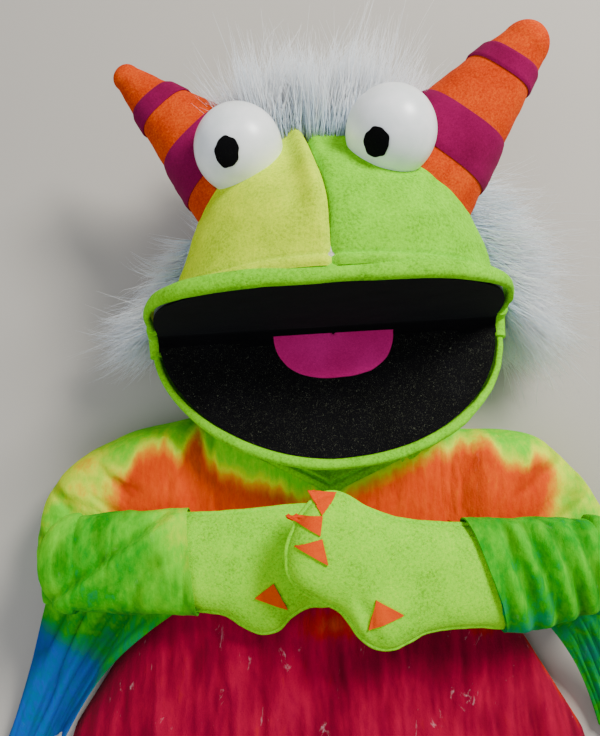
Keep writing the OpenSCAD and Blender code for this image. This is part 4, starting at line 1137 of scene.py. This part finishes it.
def shoulder_gauze(side):
    """Gauze from the neckline over the shoulder to the elbow, turned down to the table at its outer edge."""
    cols = 150
    outer = smooth_path(YOKE_OUT[side], cols)
    inner = smooth_path(YOKE_IN, cols)
    turn = ease(outer[:, 0], 58, 72)[None, :]
    w = np.concatenate([1 - (1 - np.linspace(0, 1, 90)) ** 1.35, np.ones(10)])[:, None]
    k = np.concatenate([np.zeros(90), np.linspace(0.1, 1, 10)])[:, None]
    xy = inner[None] + (outer - inner)[None] * w[..., None]
    reach = np.linalg.norm(outer - inner, axis=1)[None, :]
    inward = (inner - outer)[None] / reach[..., None]
    xy = xy + inward * (9 * k ** 1.5)[..., None]
    x, y = xy[..., 0], xy[..., 1]
    flat_z = chest_z(x, y) - 1.4 + 2.4 * ease(x, 55, 70)
    top = flat_z + (YOKE_TOP - flat_z) * ease(x, 60, 82)
    from_edge = np.clip((1 - w) * reach / 15, 0, 1)
    round_over = np.sqrt(1 - (1 - from_edge) ** 2.4)
    z = top * (1 - turn * 0.62 * (1 - round_over))
    z = z * (1 - k * turn) + 1.2 * k * turn
    grid = np.stack([x, y, z], -1)
    level = grid * [1, 1, 0] * [side, 1, 1]
    gather = layers(level, (5, 26, 1), 131, 3) * ease(-x, -104, -60)
    slant = np.stack([0.75 * x + 0.6 * y, 0.75 * y - 0.6 * x, 0 * x], -1)
    pull = layers(slant, (26, 8, 1), 133 + side, 3) * ease(x, 88, 112)
    fold = 1.2 * gather + 1.9 * pull
    grid[..., 2] += np.minimum(fold, 0.5) * (1 - k) * ease(w, 0.0, 0.12)
    grid[..., 2] = np.maximum(grid[..., 2], 0.8)
    grid = side_points(grid, side)
    part = ease(x + 6 * grain(level, (12, 12, 1), 135), 104, 124)
    dye = torso_dye(grid) * (1 - part) + shoulder_dye(grid, side) * part
    # Painted shade: the crease value darkens the gauze where its folds dip.
    crease = np.clip(-0.7 * fold, 0, 1) * 0.8
    piece = cloth(f"shoulder_gauze_{SIDES[side]}", grid * MM, GAUZE_T * MM, GAUZE,
                  values={"dye": dye, "crease": crease}, flip=side == LEFT)
    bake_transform(piece)
    return piece


for side in SIDES:
    shoulder_gauze(side)

# Frames of the forearms: the elbow's pivot at the arm's underside, and along it towards the fingers.
FOREARM_Z = 41.3
TOP_SLOPE = math.radians(9)
HAND_T = 17.0


def forearm_place(p, side):
    p = np.asarray(p, float)
    if side == LEFT:
        return np.stack([-ELBOW[0] + p[..., 0], ELBOW[1] + p[..., 1], FOREARM_Z + p[..., 2]], -1) * MM
    c, s = math.cos(TOP_SLOPE), math.sin(TOP_SLOPE)
    x = p[..., 0] * c - p[..., 2] * s
    z = p[..., 0] * s + p[..., 2] * c
    return np.stack([ELBOW[0] - x, ELBOW[1] + p[..., 1], FOREARM_Z + 3.6 + z], -1) * MM


# Outlines of the forearm and mitten as (along, across) points: the upper edge, then the lower one.
MITTEN_EDGES = {
    LEFT: ([(-20, 6), (-12, 16), (10, 21), (45, 23), (70, 23.5), (90, 25), (110, 27), (126, 27), (138, 22),
            (147, 11), (150, 2)],
           [(-20, -6), (-12, -16), (10, -21), (45, -22), (66, -23), (78, -25), (86, -30), (95, -33.5),
            (103, -32), (109, -26), (118, -21), (130, -20), (140, -14), (147, -7), (150, 0)]),
    RIGHT: ([(-20, 6), (-12, 16), (10, 20), (45, 20.5), (68, 20.5), (87, 21.5), (104, 24), (118, 29),
             (127, 34.5), (134, 36.5), (142, 34), (150, 25), (154.5, 14), (155, 8)],
            [(-20, -6), (-12, -16), (10, -21), (45, -27), (63, -26), (78, -26), (90, -27.5), (98, -31),
             (106, -34), (114, -33), (121, -28), (126, -21), (131, -15.5), (140, -11), (149, -6), (154, 1),
             (155, 7)]),
}


def mitten_grid(side, part, rows=150, cols=70):
    """Half of a mitten as a grid: part is 1 for the back of the hand and -1 for the palm."""
    high, low = [np.array(e, float) for e in MITTEN_EDGES[side]]
    high, low = smooth_path(high, 500), smooth_path(low, 500)
    s = np.linspace(0, 1, rows)
    x = -11 + (high[-1, 0] + 11) * (0.5 - 0.5 * np.cos(np.pi * s))
    top = np.interp(x, np.maximum.accumulate(high[:, 0]), high[:, 1])
    base = np.interp(x, np.maximum.accumulate(low[:, 0]), low[:, 1])
    q = np.sin(np.linspace(-np.pi / 2, np.pi / 2, cols))[None, :]
    y = (top + base)[:, None] / 2 + (top - base)[:, None] / 2 * q
    ends = np.minimum((x + 11) / 16, (high[-1, 0] - x) / 14).clip(0.0, 1)[:, None]
    dome = (1 - np.abs(q) ** 2.6) ** 0.5 * np.sqrt(1 - (1 - ends) ** 2)
    grid = np.stack(np.broadcast_arrays(x[:, None], y, 0 * q), -1)
    thumb = np.exp(-(((x[:, None] - 121) - (y + 14) * 0.35) / 3.4) ** 2) * ease(-y, 2, 16)
    puff = HAND_T / 2 * dome * (1 + 0.05 * layers(grid, (26, 26, 26), 101 + side)) - 2.2 * thumb * dome
    grid[..., 2] = HAND_T / 2 + part * puff
    return grid


def mitten(side):
    for part, word in ((1, "back"), (-1, "palm")):
        grid = mitten_grid(side, part)
        grid[..., 2] = np.maximum(grid[..., 2], 0.15)
        piece = cloth(f"mitten_{word}_{SIDES[side]}", forearm_place(grid, side), 1.3 * MM, LIME_MITTEN,
                      flip=(part == 1) == (side == RIGHT))
        nodes = [f"hand_{word}_{SIDES[side]}"] + ([f"hand_fill_{SIDES[side]}"] if part == 1 else [])
        dress(piece, f"forearm_{SIDES[side]}", "lime_fleece", *nodes)
    high, low = [smooth_path(np.array(e, float), 160) for e in MITTEN_EDGES[side]]
    line = np.concatenate([high, low[::-1][1:]])
    path = np.column_stack([line, np.full(len(line), HAND_T / 2)])
    path = path[(path[:, 0] > 40)]
    rings = tube_rings(path, lambda s: oval(1.5, 1.0, 2.0, 12))
    rings += 0.25 * grain(rings, (3, 3, 3), 5)[..., None]
    seam = lofted(f"mitten_seam_{SIDES[side]}", forearm_place(rings, side), LIME_MITTEN)
    dress(seam, f"forearm_{SIDES[side]}", "lime_fleece")


for side in SIDES:
    mitten(side)

# Corners of each felt claw in the forearm's frame, base corners first and point last.
CLAWS = {
    ("finger", RIGHT, 0): [(132.3, 37.3), (140.3, 27.8), (146.0, 38.3)],
    ("finger", RIGHT, 1): [(140.1, 27.6), (141.4, 18.9), (156.1, 27.0)],
    ("finger", RIGHT, 2): [(140.6, 17.6), (138.0, 6.1), (152.9, 14.3)],
    ("thumb", RIGHT, 0): [(116.2, -10.0), (103.2, -17.3), (118.7, -24.0)],
    ("finger", LEFT, 0): [(128.0, 22.0), (131.0, 11.5), (143.0, 19.5)],
    ("finger", LEFT, 1): [(132.0, 10.0), (133.0, -1.0), (147.5, 4.5)],
    ("finger", LEFT, 2): [(131.0, -2.5), (128.0, -13.0), (142.5, -10.5)],
    ("thumb", LEFT, 0): [(101.3, -8.2), (108.3, -21.2), (92.2, -15.2)],
}


def top_height(side, x, y):
    """Height of the back of a mitten at places in its frame."""
    flat = mitten_grid(side, 1, 90, 60).reshape(-1, 3)
    d = (flat[None, :, 0] - np.ravel(x)[:, None]) ** 2 + (flat[None, :, 1] - np.ravel(y)[:, None]) ** 2
    near = np.argsort(d, axis=1)[:, :4]
    w = 1 / (np.take_along_axis(d, near, 1) + 0.3)
    return ((flat[near, 2] * w).sum(1) / w.sum(1)).reshape(np.shape(x))


def claw(key):
    word, side, number = key
    a, b, c = [np.array(p) for p in CLAWS[key]]
    u = np.linspace(0, 1, 14)[:, None]
    v = np.linspace(0, 1, 14)[None, :]
    base = a + (b - a) * v[..., None]
    flat = base * (1 - 0.985 * u[..., None]) + c * 0.985 * u[..., None]
    z = top_height(side, flat[..., 0], flat[..., 1]) + 1.1
    z = z + 0.25 * grain(np.dstack([flat, flat[..., :1]]), (5, 5, 5), number)
    grid = np.dstack([flat, z])
    piece = cloth(f"claw_felt_{word}_{number + 1}_{SIDES[side]}", forearm_place(grid, side), 1.1 * MM, ORANGE_FELT)
    dress(piece, f"forearm_{SIDES[side]}", "orange_felt")
    return piece


for key in CLAWS:
    made = claw(key)
    if key[2] == 0:
        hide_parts(f"{key[0]}_claw{'s' if key[0] == 'finger' else ''}_{SIDES[key[1]]}")


def cuff(side):
    """Lower sleeve: gauze round the forearm, wide and wrinkled at the elbow, open at the wrist."""
    high, low = [smooth_path(np.array(e, float), 300) for e in MITTEN_EDGES[side]]
    rows, cols = 120, 140
    s = np.linspace(0, 1, rows)
    x = -14 + (61 + 14) * (1 - (1 - s) ** 1.6)
    rings = []
    for k, v in enumerate(x):
        top = np.interp(v, high[:, 0], high[:, 1])
        base = np.interp(v, low[:, 0], low[:, 1])
        closing = math.sqrt(max(0.0, 1 - ((4 - v) / 18.5) ** 2)) if v < 4 else 1.0
        half = (top - base) / 2 * (1 if v >= 4 else 0) + (22 * closing if v < 4 else 0) + 1.4 + 1.2 * s[k]
        middle = (top + base) / 2 if v >= 4 else 0
        high_size = (HAND_T / 2 + 1.3 + 0.5 * s[k]) * (closing ** 0.5 if v < 4 else 1)
        o = oval(half, high_size, 2.4, cols)
        lean = (-0.12 if side == LEFT else 0.36) * o[:, 0] * s[k]
        rings.append(np.column_stack([v + lean, middle + o[:, 0], HAND_T / 2 + o[:, 1]]))
    rings = np.stack(rings)
    wrinkle = layers(rings, (9, 26, 26), 111 + side, 3)
    up = np.clip((rings[..., 2] - HAND_T / 2) / (HAND_T / 2), -1, 1)
    slant = (rings[..., 0] - 41) * 0.6 - (rings[..., 1] - 19) * 0.8
    if side == LEFT:
        tuck = -1.5 * np.exp(-(slant / 2.2) ** 2) + 4.2 * ease(slant, 0, 4) * np.exp(-((slant - 4) / 9) ** 2)
    else:
        wave = rings[..., 0] - 0.36 * rings[..., 1]
        tuck = -0.9 * np.exp(-((wave - 44) / 1.8) ** 2) + 1.9 * np.sin(wave * 0.5) * ease(wave, 0, 20)
    tuck = tuck * ease(up, 0.1, 0.6) * ease(rings[..., 0], -22, -8) * ease(-rings[..., 0], -60, -50)
    puckers = 1.6 * np.abs(grain(rings, (13, 60, 60), 14)) * ease(-rings[..., 0], -52, -10)
    lift = np.where(up > -0.6, 1.0, 0.2) * (0.9 * np.abs(wrinkle) + puckers)
    rings[..., 2] += lift * np.clip(up + 0.4, 0, 1) + tuck
    rings[..., 1] += 0.8 * wrinkle * np.sign(rings[..., 1]) * (1 - np.abs(up))
    points = forearm_place(rings, side)
    dye = sleeve_dye(points / MM, side)
    if side == LEFT:
        dye = dye - 0.07 * ease(rings[..., 0] + 0.8 * rings[..., 1], 48, 66)
    # Painted shade: the crease value darkens the wrinkles and the tucked-in fold.
    crease = np.clip(np.abs(wrinkle) * 0.8 - 0.1 - 0.25 * tuck, 0, 1)
    piece = cloth(f"cuff_gauze_{SIDES[side]}", points, GAUZE_T * MM, GAUZE, wrap=True,
                  values={"dye": dye, "crease": crease}, flip=side == RIGHT)
    dress(piece, f"forearm_{SIDES[side]}", "tie_dyed_gauze", f"sleeve_cuff_{SIDES[side]}")
    return piece


for side in SIDES:
    cuff(side)


DRAPE_EDGE = {LEFT: [(76.0, -77.0), (141.0, -150.0)], RIGHT: [(101.0, -77.0), (150.0, -150.0)]}


def drape(side):
    """Bell end of the sleeve: it hangs from the forearm over the costume and spreads on the table."""
    rows, cols = 120, 110
    j = np.linspace(0, 1, rows)[:, None, None]
    i = np.linspace(0, 1, cols)[None, :, None]
    start, end = DRAPE_EDGE[side]
    near = np.array(start) * (1 - i) + np.array([143.0, -62.0]) * i
    far = np.array(end) * (1 - i) + np.array([183.0, -173.0]) * i
    at = near * (1 - j) + far * j
    at = at + np.array([6.0, 4.0]) * (1 - i) * 4 * j * (1 - j)
    x, y = at[..., 0], at[..., 1]
    body_half = np.interp(y, *HALF_AT)
    under = 1.6 + (CHEST_T - 1.6) * np.maximum(1 - np.minimum(x / (body_half + 5), 1) ** 4.2, 0) ** 0.5
    over = under + 2.0
    hang = (1 - j[..., 0]) ** 1.6
    z = np.maximum(over, 0.9) + 1.2
    z = z * (1 - hang) + np.maximum(z, 40.2) * hang
    z = np.minimum(z, 46)
    grid = np.stack([x, y, z], -1)
    fold = layers(np.stack([i[..., 0] * 60 + 0 * x, j[..., 0] * 20 + 0 * x, 0 * x], -1), (11, 22, 1), 121 + side, 3)
    grid[..., 2] += 3.2 * np.abs(fold) * ease(j[..., 0], 0.0, 0.25)
    grid = side_points(grid, side)
    dye = sleeve_dye(grid, side)
    # Painted shade: the crease value darkens the low ground between the drape's folds.
    piece = cloth(f"drape_gauze_{SIDES[side]}", grid * MM, GAUZE_T * MM, GAUZE,
                  values={"dye": dye, "crease": np.clip(0.8 - 1.6 * np.abs(fold), 0, 1)}, flip=side == RIGHT)
    dress(piece, f"arm_{SIDES[side]}", "tie_dyed_gauze", f"sleeve_drape_{SIDES[side]}")
    return piece


for side in SIDES:
    drape(side)

# ---------------------------------------------------------------- what stays from the CAD

KEPT = {"head_foam": FOAM, "chin_foam": FOAM, "upper_mouth_board": BOARD, "lower_mouth_board": BOARD,
        "finger_strap": WEBBING, "thumb_strap": WEBBING}
for name, material in KEPT.items():
    mesh = frame["nodes"][name].data
    mesh.materials.clear()
    mesh.materials.append(material)

# ---------------------------------------------------------------- floor and light


def floor():
    """Plain pale floor under the puppet."""
    size = 3.0
    points = [[-size, -size, 0], [size, -size, 0], [size, size, 0], [-size, size, 0]]
    material, _, shader = new_material("pale_floor", Roughness=0.9)
    shader.inputs["Base Color"].default_value = tone("#bbb5ab")
    piece = mesh_piece("floor", points, [np.array([[0, 1, 2, 3]])], material, turn_out=False, sharp=None)


floor()


def lamp(name, at, target, size, power, colour):
    """Square soft light at a place, turned to its target."""
    light = bpy.data.lights.new(name, "AREA")
    light.energy, light.size, light.color = power, size, tone(colour)[:3]
    holder = bpy.data.objects.new(name, light)
    holder.location = at
    holder.rotation_euler = (Vector(target) - Vector(at)).to_track_quat("-Z", "Y").to_euler()
    bpy.context.scene.collection.objects.link(holder)


lamp("window", (0.55, 0.62, 0.75), (0, 0.02, 0.03), 0.3, 16, "#fffdf8")
lamp("fill", (-0.5, -0.3, 0.9), (0, 0, 0), 0.8, 4, "#e8f0ff")
world = bpy.data.worlds.new("studio")
world.use_nodes = True
world.node_tree.nodes["Background"].inputs["Color"].default_value = tone("#e4e8ee")
world.node_tree.nodes["Background"].inputs["Strength"].default_value = 0.45
bpy.context.scene.world = world
